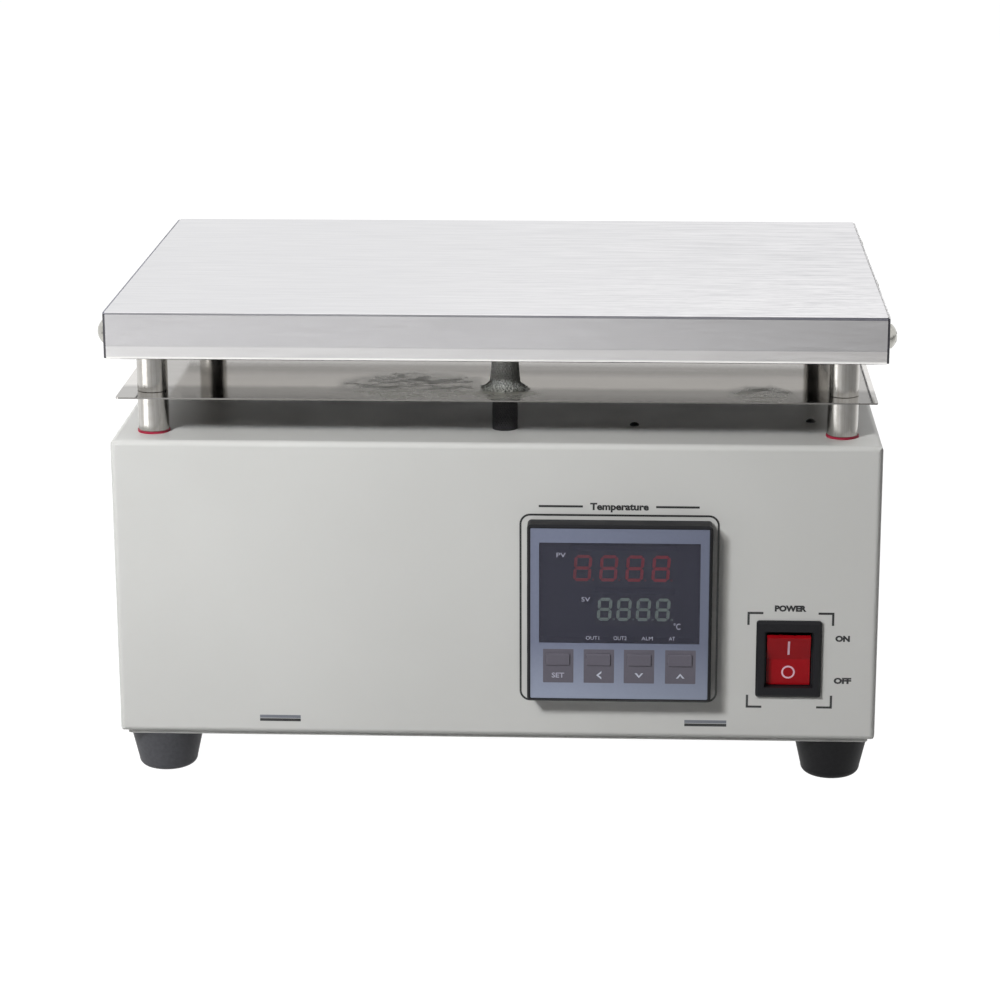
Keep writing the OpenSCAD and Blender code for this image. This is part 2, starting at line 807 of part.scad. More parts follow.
// Brackets on both sides of the housing, whose long screws press on the back of the case's front wall
module meter_clamps() {
    color([0.16, 0.16, 0.17]) at_meter() mirrored_x() difference() {
        translate([meter_body / 2, clamp_y, -clamp_size[2] / 2]) cube(clamp_size);
        translate([clamp_screw_x, clamp_y - 1, 0]) rotate([-90, 0, 0])
            cylinder(r = m3[0], h = clamp_size[1] + 2);
        translate([meter_body / 2 + 2, clamp_y + 8, -4]) cube([clamp_size[0], 14, 8]);
    }
}

module meter_clamp_screws() {
    color("silver") at_meter() mirrored_x() translate([clamp_screw_x, clamp_y + clamp_size[1], 0])
        rotate([-90, 0, 0]) pan_screw(m3, clamp_size[1] + clamp_y - sheet);
}

// Power switch

module at_switch() placed() translate([switch_x, 0, switch_z]) children();

sw_deep = 25;
sw_floor = 14;

// The housing, with a bezel in front and a snap wedge above and below behind the case's front wall
module switch_body() {
    well_deep_w = rocker_w + 0.8;
    wedge = [0.8, 9];
    color([0.11, 0.12, 0.13]) at_switch() difference() {
        union() {
            bevelled_slab(sw_bezel_w, sw_bezel_h, 1.2, -sw_bezel_t, 0, 1);
            along_y(0, sw_deep) square([sw_body_w, sw_body_h], center = true);
            for (z = [-1, 1]) translate([0, sheet, z * sw_body_h / 2]) along_x(8)
                polygon([[0.3, -wedge[0]], [0.3, wedge[0]], [wedge[1], 0]]);
        }
        along_y(-sw_bezel_t - 1, sw_bezel_t + 1) square([sw_well_w, sw_well_h], center = true);
        along_y(-1, sw_floor + 1) square([well_deep_w, sw_well_h], center = true);
        translate([0, pivot_y, 0]) rotate([0, 90, 0])
            cylinder(r = pivot_r + pivot_play, h = rocker_w + 3, center = true);
    }
}

// The rocker lies with its lower half pressed in, its V-shaped face leaning out at the top
module rocker() {
    rise = rocker_half * tan(half_swing);
    tip_u = rocker_mid + rise;
    lower_half = [[-tip_u, -rocker_half], [-tip_u + 2.2, -rocker_half - 0.25],
                  [-tip_u + 2.6, -rocker_half + 1.6], [-0.4, -4.2], [3, -2.4], [5.5, -1.2]];
    upper_half = [for (i = [len(lower_half) - 1 : -1 : 0]) [lower_half[i][0], -lower_half[i][1]]];
    color([0.70, 0.07, 0.10]) at_switch() translate([0, pivot_y, 0]) rotate([half_swing, 0, 0]) {
        along_x(rocker_w) polygon(concat([[-rocker_mid, 0]], lower_half, upper_half));
        rotate([0, 90, 0]) cylinder(r = pivot_r, h = rocker_w + 2.4, center = true);
    }
}

module switch_terminals() {
    color([0.80, 0.74, 0.55]) at_switch() for (x = [-5, 5], z = [-7, 7]) translate([x, 0, z]) difference() {
        translate([-0.4, sw_deep, -3.15]) cube([0.8, 9.5, 6.3]);
        translate([0, sw_deep + 5.5, 0]) rotate([0, 90, 0]) cylinder(r = 1, h = 3, center = true);
    }
}

// Mains inlet with a fuse drawer

module at_inlet() placed() translate([inlet_x, case_d, inlet_z]) children();

// Socket outline: the two upper corners are cut off
module socket_outline(w, h) {
    corner = 4.2;
    polygon([[-w / 2, -h / 2], [w / 2, -h / 2], [w / 2, h / 2 - corner], [w / 2 - corner, h / 2],
             [-w / 2 + corner, h / 2], [-w / 2, h / 2 - corner]]);
}

pin_spots = [[-7, -2], [7, -2], [0, 2]];
pin_len = 10.5;
pin_size = [2, 4];

// Place of the fuse: how deep it lies behind the inlet's face and how far over the drawer's floor
fuse_in = 8;
fuse_up = 2.6;
drawer_wall = 1;
drawer_floor = 1.4;

module inlet_body() {
    color([0.12, 0.12, 0.13]) at_inlet() difference() {
        union() {
            along_y(0, inlet_flange_t) difference() {
                union() {
                    round_rect(inlet_w + 5, inlet_h + 5, 2);
                    slot_outline(2 * (inlet_ear_x + inlet_ear_r), 2 * inlet_ear_r);
                }
                for (x = [-inlet_ear_x, inlet_ear_x]) translate([x, 0]) circle(m3[0] + 0.1);
            }
            along_y(-inlet_deep, inlet_deep) square([inlet_w, inlet_h], center = true);
        }
        translate([0, 0, socket_up]) along_y(inlet_flange_t - socket_deep, socket_deep + 1)
            socket_outline(socket_w, socket_h);
        translate([0, 0, drawer_up]) along_y(inlet_flange_t - drawer_deep - 1, drawer_deep + 2)
            square([drawer_w + 2 * drawer_play, drawer_h + 2 * drawer_play], center = true);
        for (p = pin_spots) translate([p[0], 0, socket_up + p[1]]) along_y(-inlet_deep - 1, inlet_deep)
            square(pin_size, center = true);
    }
}

module inlet_pins() {
    back = -inlet_deep - 7;
    front = inlet_flange_t - socket_deep + pin_len;
    color([0.82, 0.80, 0.74]) at_inlet() for (p = pin_spots) translate([p[0], 0, socket_up + p[1]])
        along_y(back, front - back) square(pin_size, center = true);
}

module fuse_drawer() {
    trough_y = inlet_flange_t - fuse_in;
    inner_w = drawer_w - 2 * drawer_wall;
    color([0.15, 0.15, 0.16]) at_inlet() translate([0, 0, drawer_up]) difference() {
        union() {
            along_y(inlet_flange_t - drawer_deep, drawer_deep) square([drawer_w, drawer_h], center = true);
            along_y(inlet_flange_t, drawer_lip_t) round_rect(drawer_w + 2, drawer_h + 1.6, 1);
        }
        translate([-inner_w / 2, trough_y - 3, -drawer_h / 2 + drawer_floor]) cube([inner_w, 6, drawer_h]);
        translate([-inner_w / 2 + 2, trough_y - 11, -drawer_h / 2 + 2]) cube([inner_w - 4, 6.5, drawer_h]);
        translate([0, inlet_flange_t + drawer_lip_t, -drawer_h / 2 - 0.8]) along_x(10) circle(1.3);
    }
}

module fuse() {
    color([0.78, 0.80, 0.80]) at_inlet()
        translate([0, inlet_flange_t - fuse_in, drawer_up - drawer_h / 2 + drawer_floor + fuse_up])
        rotate([0, 90, 0]) {
            cylinder(r = 2.3, h = 19, center = true);
            for (s = [-1, 1]) translate([0, 0, s * 7.4]) cylinder(r = 2.6, h = 5, center = true);
        }
}

module inlet_screws() {
    color("silver") at_inlet() for (x = [-inlet_ear_x, inlet_ear_x]) translate([x, inlet_flange_t, 0])
        rotate([-90, 0, 0]) pan_screw(m3_low, 9);
}

// Inside the case

sink_w = 60;
sink_d = 48;
sink_h = 22;
relay_ear_h = 6;

// Fins down, over the slots in the bottom plate
module relay_heatsink() {
    fin_pitch = 5.4;
    gap = 3.4;
    color([0.70, 0.71, 0.72]) placed() translate([relay_x, relay_y, case_z]) difference() {
        translate([-sink_w / 2, -sink_d / 2, 0]) cube([sink_w, sink_d, sink_h]);
        for (i = [-3 : 3]) translate([i * fin_pitch - gap / 2, -sink_d / 2 - 1, -1])
            cube([gap, sink_d + 2, sink_h - 4]);
        for (x = [-relay_pitch, relay_pitch]) {
            translate([x, 0, sink_h - 12]) cylinder(r = m4[0], h = 13);
            for (y = [-relay_row, relay_row]) translate([x, y, -1]) cylinder(r = m3[0], h = 10);
        }
    }
}

module solid_state_relay() {
    w = 58;
    d = 44;
    h = 22;
    color([0.88, 0.88, 0.85]) placed() translate([relay_x, relay_y, case_z + sink_h]) difference() {
        translate([-w / 2, -d / 2, 0]) cube([w, d, h]);
        for (x = [-relay_pitch, relay_pitch]) {
            translate([x, 0, -1]) cylinder(r = m4[0] + 0.2, h = h);
            translate([x, 0, relay_ear_h]) cylinder(r = 5.5, h = h);
        }
        for (x = [-1, 1], y = [-1, 1]) translate([x * 20 - 6, y * 15.5 - 4.5, 14]) cube([12, 9, 10]);
    }
}

module relay_screws() {
    color("silver") placed() for (x = [-relay_pitch, relay_pitch])
        translate([relay_x + x, relay_y, case_z + sink_h + relay_ear_h]) pan_screw(m4, relay_ear_h + 11);
}

module terminal_block() {
    way = 11;
    base_h = 8;
    post_h = 11;
    wire_up = 13;
    color([0.90, 0.88, 0.82]) placed() translate([block_x, block_y, case_z]) difference() {
        union() {
            translate([-22, -11, 0]) cube([44, 22, base_h]);
            for (i = [-1 : 1]) translate([i * way - 4.5, -9, base_h - 0.1]) cube([9, 18, post_h]);
        }
        for (i = [-1 : 1]) {
            translate([i * way, 0, wire_up]) rotate([90, 0, 0]) cylinder(r = 2.2, h = 30, center = true);
            for (y = [-5, 5]) translate([i * way, y, wire_up]) cylinder(r = 1.8, h = post_h);
        }
        for (x = [-block_pitch, block_pitch]) translate([x, 0, -1]) cylinder(r = m3[0], h = 8);
    }
}

module earth_stud() {
    color("silver") placed() translate([earth_x, case_d, earth_z]) rotate([-90, 0, 0])
        pan_screw(m4_low, 20);
}

module earth_nuts() {
    color([0.80, 0.72, 0.40]) placed() translate([earth_x, case_d - sheet, earth_z]) rotate([90, 0, 0]) {
        flange_nut(m4[0], 3.2);
        translate([0, 0, 6]) flange_nut(m4[0], 3.2);
    }
}

case_shell();
bottom_plate();
bottom_screws();
foot_front_left();
foot_front_right();
foot_rear_left();
foot_rear_right();
foot_washers();
foot_screws();
foot_nuts();
fixing_screws();
top_screws();
top_nuts();
insulating_washers();
lower_sleeves();
heat_shield();
upper_sleeves();
post_studs();
post_nuts();
heating_plate();
end_cover_left();
end_cover_right();
end_cover_screws();
heater_cartridges();
thermocouple_probe();
heater_leads();
lead_sleeve_upper();
lead_sleeve_lower();
meter_bezel();
meter_overlay();
meter_window();
pv_display();
sv_display();
digit_segments();
key_set();
key_shift();
key_down();
key_up();
meter_housing();
meter_front_board();
meter_main_board();
meter_terminals();
meter_terminal_screws();
meter_clamps();
meter_clamp_screws();
switch_body();
rocker();
switch_terminals();
inlet_body();
inlet_pins();
fuse_drawer();
fuse();
inlet_screws();
relay_heatsink();
solid_state_relay();
relay_screws();
terminal_block();
earth_stud();
earth_nuts();
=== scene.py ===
import bpy, bmesh, math
from mathutils import Matrix, Vector


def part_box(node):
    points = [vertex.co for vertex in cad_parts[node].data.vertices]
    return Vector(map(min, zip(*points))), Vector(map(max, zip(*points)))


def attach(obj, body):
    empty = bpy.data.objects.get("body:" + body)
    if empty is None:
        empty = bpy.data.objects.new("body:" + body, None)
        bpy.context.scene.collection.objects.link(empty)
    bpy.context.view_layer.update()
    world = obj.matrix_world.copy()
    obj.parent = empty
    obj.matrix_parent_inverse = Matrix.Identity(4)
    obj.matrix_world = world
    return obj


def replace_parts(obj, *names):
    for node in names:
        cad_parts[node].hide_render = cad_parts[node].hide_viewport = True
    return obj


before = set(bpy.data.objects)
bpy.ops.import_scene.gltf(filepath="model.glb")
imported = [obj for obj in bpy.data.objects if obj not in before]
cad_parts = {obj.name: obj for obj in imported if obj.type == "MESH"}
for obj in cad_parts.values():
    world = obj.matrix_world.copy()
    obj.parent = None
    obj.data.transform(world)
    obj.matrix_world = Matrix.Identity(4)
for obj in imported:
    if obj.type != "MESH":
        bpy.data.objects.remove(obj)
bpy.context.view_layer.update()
mm = 0.001
print("stage: frame loaded")

# places that several pieces share
frontY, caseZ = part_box("case_shell")[0][1:]
meterLow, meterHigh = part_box("meter_bezel")
meterX, meterZ = (meterLow[0] + meterHigh[0]) / 2, (meterLow[2] + meterHigh[2]) / 2
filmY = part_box("meter_overlay")[0][1]
switchLow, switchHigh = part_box("switch_body")
switchX, switchZ = (switchLow[0] + switchHigh[0]) / 2, (switchLow[2] + switchHigh[2]) / 2
sleeveLow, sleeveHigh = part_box("lead_sleeve_upper")
sleeveX, sleeveY = (sleeveLow[0] + sleeveHigh[0]) / 2, (sleeveLow[1] + sleeveHigh[1]) / 2

camera = {
    "place": (0.05369, frontY - 1.12027, 0.43060),
    "pitch": 15.652,
    "yaw": -2.639,
    "roll": -0.174,
    "lens": 107.85,
    "sensor": 36,
    "near": 0.05,
    "far": 20,
}


def makeCamera(c):
    pitch, yaw, roll = (math.radians(c[key]) for key in ("pitch", "yaw", "roll"))
    level = math.cos(pitch)
    ahead = Vector((math.sin(yaw) * level, math.cos(yaw) * level, -math.sin(pitch)))
    right = Vector((math.cos(yaw), -math.sin(yaw), 0))
    up = right.cross(ahead)
    tiltedRight = right * math.cos(roll) + up * math.sin(roll)
    tiltedUp = up * math.cos(roll) - right * math.sin(roll)
    data = bpy.data.cameras.new("camera")
    data.lens, data.sensor_width = c["lens"], c["sensor"]
    data.clip_start, data.clip_end = c["near"], c["far"]
    eye = bpy.data.objects.new("camera", data)
    bpy.context.scene.collection.objects.link(eye)
    turn = Matrix((tiltedRight, tiltedUp, -ahead)).transposed().to_4x4()
    eye.matrix_world = Matrix.Translation(c["place"]) @ turn
    bpy.context.scene.camera = eye


makeCamera(camera)
print("stage: camera")


class Wire:  # a socket that can be added, multiplied and compared
    def __init__(self, graph, socket):
        self.graph, self.socket = graph, socket

    def math(self, operation, *values):  # values are all the inputs, this one among them
        return self.graph.node("ShaderNodeMath", {"operation": operation}, dict(enumerate(values)))

    def __add__(self, other): return self.math("ADD", self, other)
    def __radd__(self, other): return self.math("ADD", other, self)
    def __sub__(self, other): return self.math("SUBTRACT", self, other)
    def __rsub__(self, other): return self.math("SUBTRACT", other, self)
    def __mul__(self, other): return self.math("MULTIPLY", self, other)
    def __rmul__(self, other): return self.math("MULTIPLY", other, self)
    def __truediv__(self, other): return self.math("DIVIDE", self, other)
    def __gt__(self, other): return self.math("GREATER_THAN", self, other)
    def __lt__(self, other): return self.math("LESS_THAN", self, other)
    def sin(self): return self.math("SINE", self)
    def cos(self): return self.math("COSINE", self)
    def absolute(self): return self.math("ABSOLUTE", self)
    def largest(self, other): return self.math("MAXIMUM", self, other)
    def smallest(self, other): return self.math("MINIMUM", self, other)


class Graph:  # what shader and geometry trees share
    def node(self, kind, settings=None, inputs=None, out=0):
        made = self.tree.nodes.new(kind)
        for key, value in (settings or {}).items():
            setattr(made, key, value)
        for key, value in (inputs or {}).items():
            socket = made.inputs[key]
            if isinstance(value, Wire):
                self.tree.links.new(value.socket, socket)
            else:
                socket.default_value = (*value, 1) if socket.type == "RGBA" and len(value) == 3 else value
        return Wire(self, made.outputs[out])

    def axes(self, place):
        made = self.node("ShaderNodeSeparateXYZ", None, {0: place}).socket.node
        return [Wire(self, made.outputs[i]) for i in range(3)]


class Finish(Graph):  # a material around one Principled shader
    def __init__(self, name, color=(0.8, 0.8, 0.8), **constants):
        self.material = bpy.data.materials.new(name)
        self.material.use_nodes = True
        self.tree = self.material.node_tree
        self.shader = self.tree.nodes["Principled BSDF"]
        self.shader.inputs["Base Color"].default_value = (*color, 1)
        for key, value in constants.items():
            self.shader.inputs[key.replace("_", " ")].default_value = value
        self.place = self.node("ShaderNodeTexCoord", out="Object")

    def stretched(self, x, y, z):
        return self.node("ShaderNodeMapping", None, {"Vector": self.place, "Scale": (x, y, z)})

    def noise(self, scale, detail=2, rough=0.5, place=None):
        return self.node("ShaderNodeTexNoise", None, {"Vector": place or self.place, "Scale": scale,
                                                      "Detail": detail, "Roughness": rough})

    def span(self, value, low, high, first=0.0, last=1.0):
        return self.node("ShaderNodeMapRange", {"clamp": True}, {0: value, 1: low, 2: high, 3: first, 4: last})

    def spread(self, noise, first=0.0, last=1.0):  # noise hardly leaves 0.3 to 0.7
        return self.span(noise, 0.3, 0.7, first, last)

    def contrast(self, noise):
        return self.span(noise, 0.35, 0.65)

    def blend(self, amount, a, b):
        return self.node("ShaderNodeMix", {"data_type": "RGBA"}, {0: amount, 6: a, 7: b}, out=2)

    def feed(self, **sockets):
        for key, value in sockets.items():
            self.tree.links.new(value.socket, self.shader.inputs[key.replace("_", " ")])
        return self

    def bump(self, height, strength, depth):
        return self.feed(Normal=self.node("ShaderNodeBump", None,
                                          {"Height": height, "Strength": strength, "Distance": depth}))

    def facing(self):  # which way the surface looks, as x, y and z
        return self.axes(self.node("ShaderNodeTexCoord", out="Normal"))


class Form(Graph):  # a geometry tree with named sizes
    def __init__(self, name, sizes):
        self.tree, self.name, self.sizes = bpy.data.node_groups.new(name, "GeometryNodeTree"), name, sizes
        self.tree.interface.new_socket(name="Geometry", in_out="OUTPUT", socket_type="NodeSocketGeometry")
        for key, value in sizes.items():
            kind = "NodeSocketInt" if isinstance(value, int) else "NodeSocketFloat"
            self.tree.interface.new_socket(name=key, in_out="INPUT", socket_type=kind)
        entry = self.tree.nodes.new("NodeGroupInput")
        self.given = {key: Wire(self, entry.outputs[key]) for key in sizes}

    def vector(self, x, y, z):
        return self.node("ShaderNodeCombineXYZ", None, {0: x, 1: y, 2: z})

    def strands(self, count, points):  # copies of one upright line, with the place along each and its number
        line = self.node("GeometryNodeCurvePrimitiveLine", None, {"End": (0, 0, 1)})
        line = self.node("GeometryNodeResampleCurve", None, {"Curve": line, "Count": points})
        copies = self.node("GeometryNodeDuplicateElements", {"domain": "SPLINE"},
                           {"Geometry": line, "Amount": count})
        number = Wire(self, copies.socket.node.outputs["Duplicate Index"])
        return copies, self.node("GeometryNodeSplineParameter"), number

    def tubes(self, curves, place, radius, sides):
        moved = self.node("GeometryNodeSetPosition", None, {"Geometry": curves, "Position": place})
        ring = self.node("GeometryNodeCurvePrimitiveCircle", {"mode": "RADIUS"},
                         {"Resolution": sides, "Radius": radius})
        return self.node("GeometryNodeCurveToMesh", None,
                         {"Curve": moved, "Profile Curve": ring, "Fill Caps": True})

    def random(self, number, low, high, seed):  # a value for each strand, always the same
        made = self.node("FunctionNodeRandomValue", {"data_type": "FLOAT"}, None, out=1)
        node = made.socket.node
        for socket in node.inputs:
            if socket.enabled and socket.name in ("Min", "Max", "Seed"):
                socket.default_value = {"Min": low, "Max": high, "Seed": seed}[socket.name]
            if socket.enabled and socket.name == "ID":
                self.tree.links.new(number.socket, socket)
        return made

    def mesh(self, parts, material):
        joined = self.tree.nodes.new("GeometryNodeJoinGeometry")
        for part in parts:
            self.tree.links.new(part.socket, joined.inputs[0])
        whole = self.node("GeometryNodeRealizeInstances", None, {"Geometry": Wire(self, joined.outputs[0])})
        whole = self.node("GeometryNodeSetMaterial", None, {"Geometry": whole, "Material": material})
        self.tree.links.new(whole.socket, self.tree.nodes.new("NodeGroupOutput").inputs[0])
        holder = bpy.data.objects.new(self.name, bpy.data.meshes.new(self.name))
        bpy.context.scene.collection.objects.link(holder)
        modifier = holder.modifiers.new("form", "NODES")
        modifier.node_group = self.tree
        for item in self.tree.interface.items_tree:
            if item.in_out == "INPUT":
                modifier[item.identifier] = self.sizes[item.name]
        made = bpy.data.meshes.new_from_object(holder.evaluated_get(bpy.context.evaluated_depsgraph_get()))
        holder.modifiers.remove(modifier)
        bpy.data.objects.remove(holder)
        return made


paint = {"light": (0.63, 0.625, 0.605), "dark": (0.60, 0.595, 0.575), "rough": (0.31, 0.39), "shine": 0.25,
         "cloud": 9, "grain": 700, "grainBump": 0.12, "grainDepth": 0.02 * mm}


def casePaint(c):
    f = Finish("casePaint", Specular_IOR_Level=c["shine"])
    f.feed(Base_Color=f.blend(f.contrast(f.noise(c["cloud"], 3)), c["dark"], c["light"]),
           Roughness=f.spread(f.noise(60, 3), *c["rough"]))
    return f.bump(f.noise(c["grain"], 2), c["grainBump"], c["grainDepth"]).material


plate = {
    "light": (0.79, 0.79, 0.80), "bright": (0.95, 0.94, 0.95), "dark": (0.64, 0.64, 0.655),
    "under": (0.46, 0.46, 0.46), "side": (0.79, 0.78, 0.795), "sideShaded": (0.58, 0.57, 0.575),
    "band": (0.93, 0.92, 0.92), "bandShaded": (0.78, 0.76, 0.75), "groove": (0.20, 0.20, 0.24),
    "edge": (0.97, 0.96, 0.94),
    "edgeHigh": 1.3 * mm, "lineHigh": 5.6 * mm, "lineWide": 0.45 * mm,       # up from the underside
    "grooveFrom": 1.1 * mm, "grooveWorn": 0.4 * mm, "grooveTo": 0.4 * mm,    # down from the top
    "wearAndShade": (-0.05, 0.14), "dull": (0.02, 0.15),                             # from and to, across
    "near": (frontY + 20 * mm, frontY + 110 * mm, 1.0, 0.35),
    "streak": 0.016, "pitch": 0.0007, "swathe": 0.035, "swatheWide": 0.0024, "recut": 500,
    "rough": (0.30, 0.44), "topRougher": 0.14, "underRough": 0.08, "bump": 0.30, "bumpDepth": 0.02 * mm,
}


def platedAluminium(c):
    f = Finish("brushedAluminium", Metallic=1.0)
    low, high = (corner[2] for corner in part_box("heating_plate"))
    up = f.facing()[2]
    below, above = up < -0.80, up > 0.5
    x, y, z = f.axes(f.place)

    # the grain runs across, and the cutter marks show more on the right
    long, fine, wide = 1 / c["streak"], 1 / c["pitch"], 1 / c["swatheWide"]
    streaks = f.noise(1, 4, 0.65, f.stretched(long, fine, fine))
    hair = f.noise(1, 2, 0.6, f.stretched(long * 0.3, fine * 4, fine * 4))
    swathes = f.noise(1, 3, 0.6, f.stretched(1 / c["swathe"], wide, wide))
    drift = f.noise(5, 3)
    # stronger to the right: the cutter marks, the fresh cut and the painted shade in the groove
    wearAndShade = f.span(x, *c["wearAndShade"])
    tone = (f.span(streaks * 0.6 + hair * 0.4, 0.32, 0.68) * (0.25 + wearAndShade * 0.35) + 0.2 * drift
            + f.contrast(swathes) * (0.2 + wearAndShade * 0.3))

    # the sides have a faint drawn line with a brighter strip below it, a groove under the top painted dark as
    # painted shade, and a painted highlight along the lowest strip
    lineHigh = low + c["lineHigh"]
    band = z < lineHigh
    line = band * (z > lineHigh - c["lineWide"])
    groove = (z > high - c["grooveFrom"] - wearAndShade * c["grooveWorn"]) * (z < high - c["grooveTo"])
    # the right part of the sides is painted darker: painted shade
    dull = f.span(x, *c["dull"])
    side = f.blend(band, f.blend(dull, c["side"], c["sideShaded"]), f.blend(dull, c["band"], c["bandShaded"]))
    side = f.blend(0.25 * tone, side, c["dark"])
    side = f.blend(line * (0.12 + wearAndShade * 0.24), side, c["groove"])
    # the lowest strip of the sides is painted bright in place of the light on the rounded lower edge: a painted
    # highlight
    side = f.blend(z < low + c["edgeHigh"], side, c["edge"])
    # the groove is painted dark, more so to the right: painted shade
    side = f.blend(groove * (0.6 + wearAndShade * 0.35) * f.span(hair, 0.25, 0.45), side, c["groove"])

    # the top is cut again at the front right
    again = f.noise(1, 4, 0.7, f.stretched(long * 1.6, c["recut"], c["recut"]))
    fresh = wearAndShade * f.span(y, *c["near"]) * f.span(again, 0.40, 0.66)
    face = f.blend(fresh, f.blend(0.25 + wearAndShade * 0.75, c["light"], c["bright"]), c["bright"])
    top = f.blend(tone * (1 - fresh * 0.8), face, c["dark"])
    rough = f.spread(streaks, *c["rough"]) + 0.06 * drift + above * c["topRougher"]
    # the underside is painted darker than the rest: painted shade
    f.feed(Base_Color=f.blend(below, f.blend(above, side, top), c["under"]),
           Roughness=rough * (1 - below) + c["underRough"] * below)
    return f.bump((streaks * 0.5 + hair * 0.5) * (1 - below), c["bump"], c["bumpDepth"]).material


shield = {
    "steel": (0.765, 0.742, 0.712), "haze": (0.66, 0.64, 0.61), "soil": (0.30, 0.29, 0.24),
    "rim": 0.020, "rimSoft": 0.003, "rimShade": 0.52, "under": 0.50, "edge": 0.50, "rough": (0.03, 0.08),
    # dusty patches, and in front of the sleeve a dull patch that takes away the sleeve's reflection: across,
    # back from the case's front, half width and half depth
    "marks": [(-0.033, 0.024, 0.031, 0.026), (0.103, 0.014, 0.013, 0.016),
              (sleeveX, sleeveY - frontY - 0.012, 0.016, 0.011)],
}


def shieldSteel(c):
    f = Finish("shieldSteel")
    x, y, z = f.axes(f.place)
    cloud = f.noise(160, 4, 0.65)
    soil = None
    for across, back, wide, deep in c["marks"]:
        dx, dy = (x - across) / wide, (y - (frontY + back)) / deep
        spot = f.span(dx * dx + dy * dy + (cloud - 0.5) * 1.6, 0.4, 1.2, 1.0, 0.0)
        soil = spot if soil is None else soil.largest(spot)
    up = f.facing()[2]
    soil = soil * (up > 0.5) * f.span(f.noise(1, 4, 0.7, f.stretched(90, 150, 90)), 0.36, 0.62, 0.20, 0.66)
    haze = f.noise(1, 3, 0.6, f.stretched(14, 220, 14))

    # a darker rim along the front and back, and darker tones for the edges and the underside: painted shade
    low, high = (corner[1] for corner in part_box("heat_shield"))
    inwards = (y - low).smallest(high - y) + (cloud - 0.5) * 0.004
    rim = f.span(inwards, c["rim"] - c["rimSoft"], c["rim"] + c["rimSoft"], c["rimShade"], 1.0)
    flat = up.absolute() > 0.5
    tone = (rim * flat + (1 - flat) * c["edge"]) * (1 - (up < -0.5) * (1 - c["under"]))
    steel = f.blend(tone, (0, 0, 0), f.blend(haze, c["steel"], c["haze"]))
    f.feed(Base_Color=f.blend(soil, steel, c["soil"]), Metallic=1 - soil,
           Roughness=f.spread(haze, *c["rough"]) + soil * 0.5)
    return f.material


tubeSteel = {"light": (0.58, 0.57, 0.55), "dark": (0.42, 0.40, 0.37), "rough": (0.16, 0.24), "cloud": 260}
screwSteel = {"light": (0.58, 0.57, 0.53), "dark": (0.42, 0.41, 0.38), "rough": (0.17, 0.26), "cloud": 420}


def drawnSteel(c):  # the post tubes, drawn lengthwise
    f = Finish("drawnSteel", Metallic=1.0)
    lines = f.noise(1, 4, 0.6, f.stretched(1500, 1500, 30))
    cloud = f.noise(c["cloud"], 3, 0.6)
    f.feed(Base_Color=f.blend(f.spread(lines * 0.7 + cloud * 0.3), c["light"], c["dark"]),
           Roughness=f.spread(cloud, *c["rough"]))
    return f.bump(lines, 0.12, 0.01 * mm).material


def brightSteel(c):
    f = Finish("brightSteel", Metallic=1.0)
    cloud = f.noise(c["cloud"], 3, 0.6)
    f.feed(Base_Color=f.blend(cloud, c["light"], c["dark"]), Roughness=f.spread(cloud, *c["rough"]))
    return f.bump(cloud, 0.1, 0.02 * mm).material


def plain(name, light, dark, low, high, scale=500, depth=0.02, **constants):
    f = Finish(name, **constants)
    cloud = f.noise(scale, 3, 0.6)
    broad = f.noise(scale / 20, 2)
    f.feed(Base_Color=f.blend(f.contrast(cloud * 0.5 + broad * 0.5), light, dark),
           Roughness=f.spread(broad, low, high))
    return f.bump(cloud, 0.3, depth * mm).material


digits = {
    "red": ((0.60, 0.075, 0.065), (0.78, 0.050, 0.050)), "green": ((0.56, 0.72, 0.62), (0.64, 0.80, 0.69)),
    "between": 10 * mm, "margin": 1.0 * mm, "pointHigh": 3.2 * mm, "pointFaint": 0.75,
    # each block with the width of a figure and where its decimal point starts, from the figure's middle
    "blocks": (("pv_display", 6.9 * mm, 3.3 * mm), ("sv_display", 5.6 * mm, 2.8 * mm)),
}


def digitGlass(c):  # red figures over green ones, with hardly visible decimal points
    f = Finish("unlitDigits", Roughness=0.5)
    x, y, z = f.axes(f.place)
    point = None
    for block, wide, start in c["blocks"]:
        low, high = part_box(block)
        pitch = (high[0] - low[0] - c["margin"]) / 4
        along = x - (high[0] - pitch / 4 - wide / 2)          # from the middle of the last figure
        along = along.math("WRAP", along, pitch / 2, -pitch / 2)
        found = (along > start) * (z < low[2] + c["pointHigh"]) * (z > low[2])
        point = found if point is None else point.largest(found)
    red = f.blend(f.span(x, meterX - 20 * mm, meterX + 20 * mm), *c["red"])
    figure = f.blend(z > meterZ + c["between"], f.blend(f.noise(300), *c["green"]), red)
    return f.feed(Base_Color=f.blend(point * c["pointFaint"], figure, (0.02, 0.02, 0.02))).material


endCover = {"right": (0.030, 0.030, 0.040), "left": (0.085, 0.083, 0.092), "cloudy": (0.050, 0.048, 0.055),
            "topLightRight": (0.80, 0.79, 0.80), "topLightLeft": (0.23, 0.23, 0.27), "rough": (0.45, 0.6)}


def endFibre(c):  # the end covers: the right one is darker, painted shade, and both are paler on their upper faces, a painted highlight
    f = Finish("darkFibre")
    x, y, z = f.axes(f.place)
    left = x < 0
    cloud = f.noise(500, 3, 0.6)
    wearAndShade = f.noise(1, 3, 0.7, f.stretched(40, 40, 40))
    topLight = (f.facing()[2] > 0.5) * f.span(wearAndShade, 0.40, 0.58, 0.75, 1.0)
    dark = f.blend(cloud, f.blend(left, c["right"], c["left"]), c["cloudy"])
    f.feed(Base_Color=f.blend(topLight, dark, f.blend(left, c["topLightRight"], c["topLightLeft"])),
           Roughness=f.spread(cloud, *c["rough"]))
    return f.bump(cloud, 0.3, 0.02 * mm).material


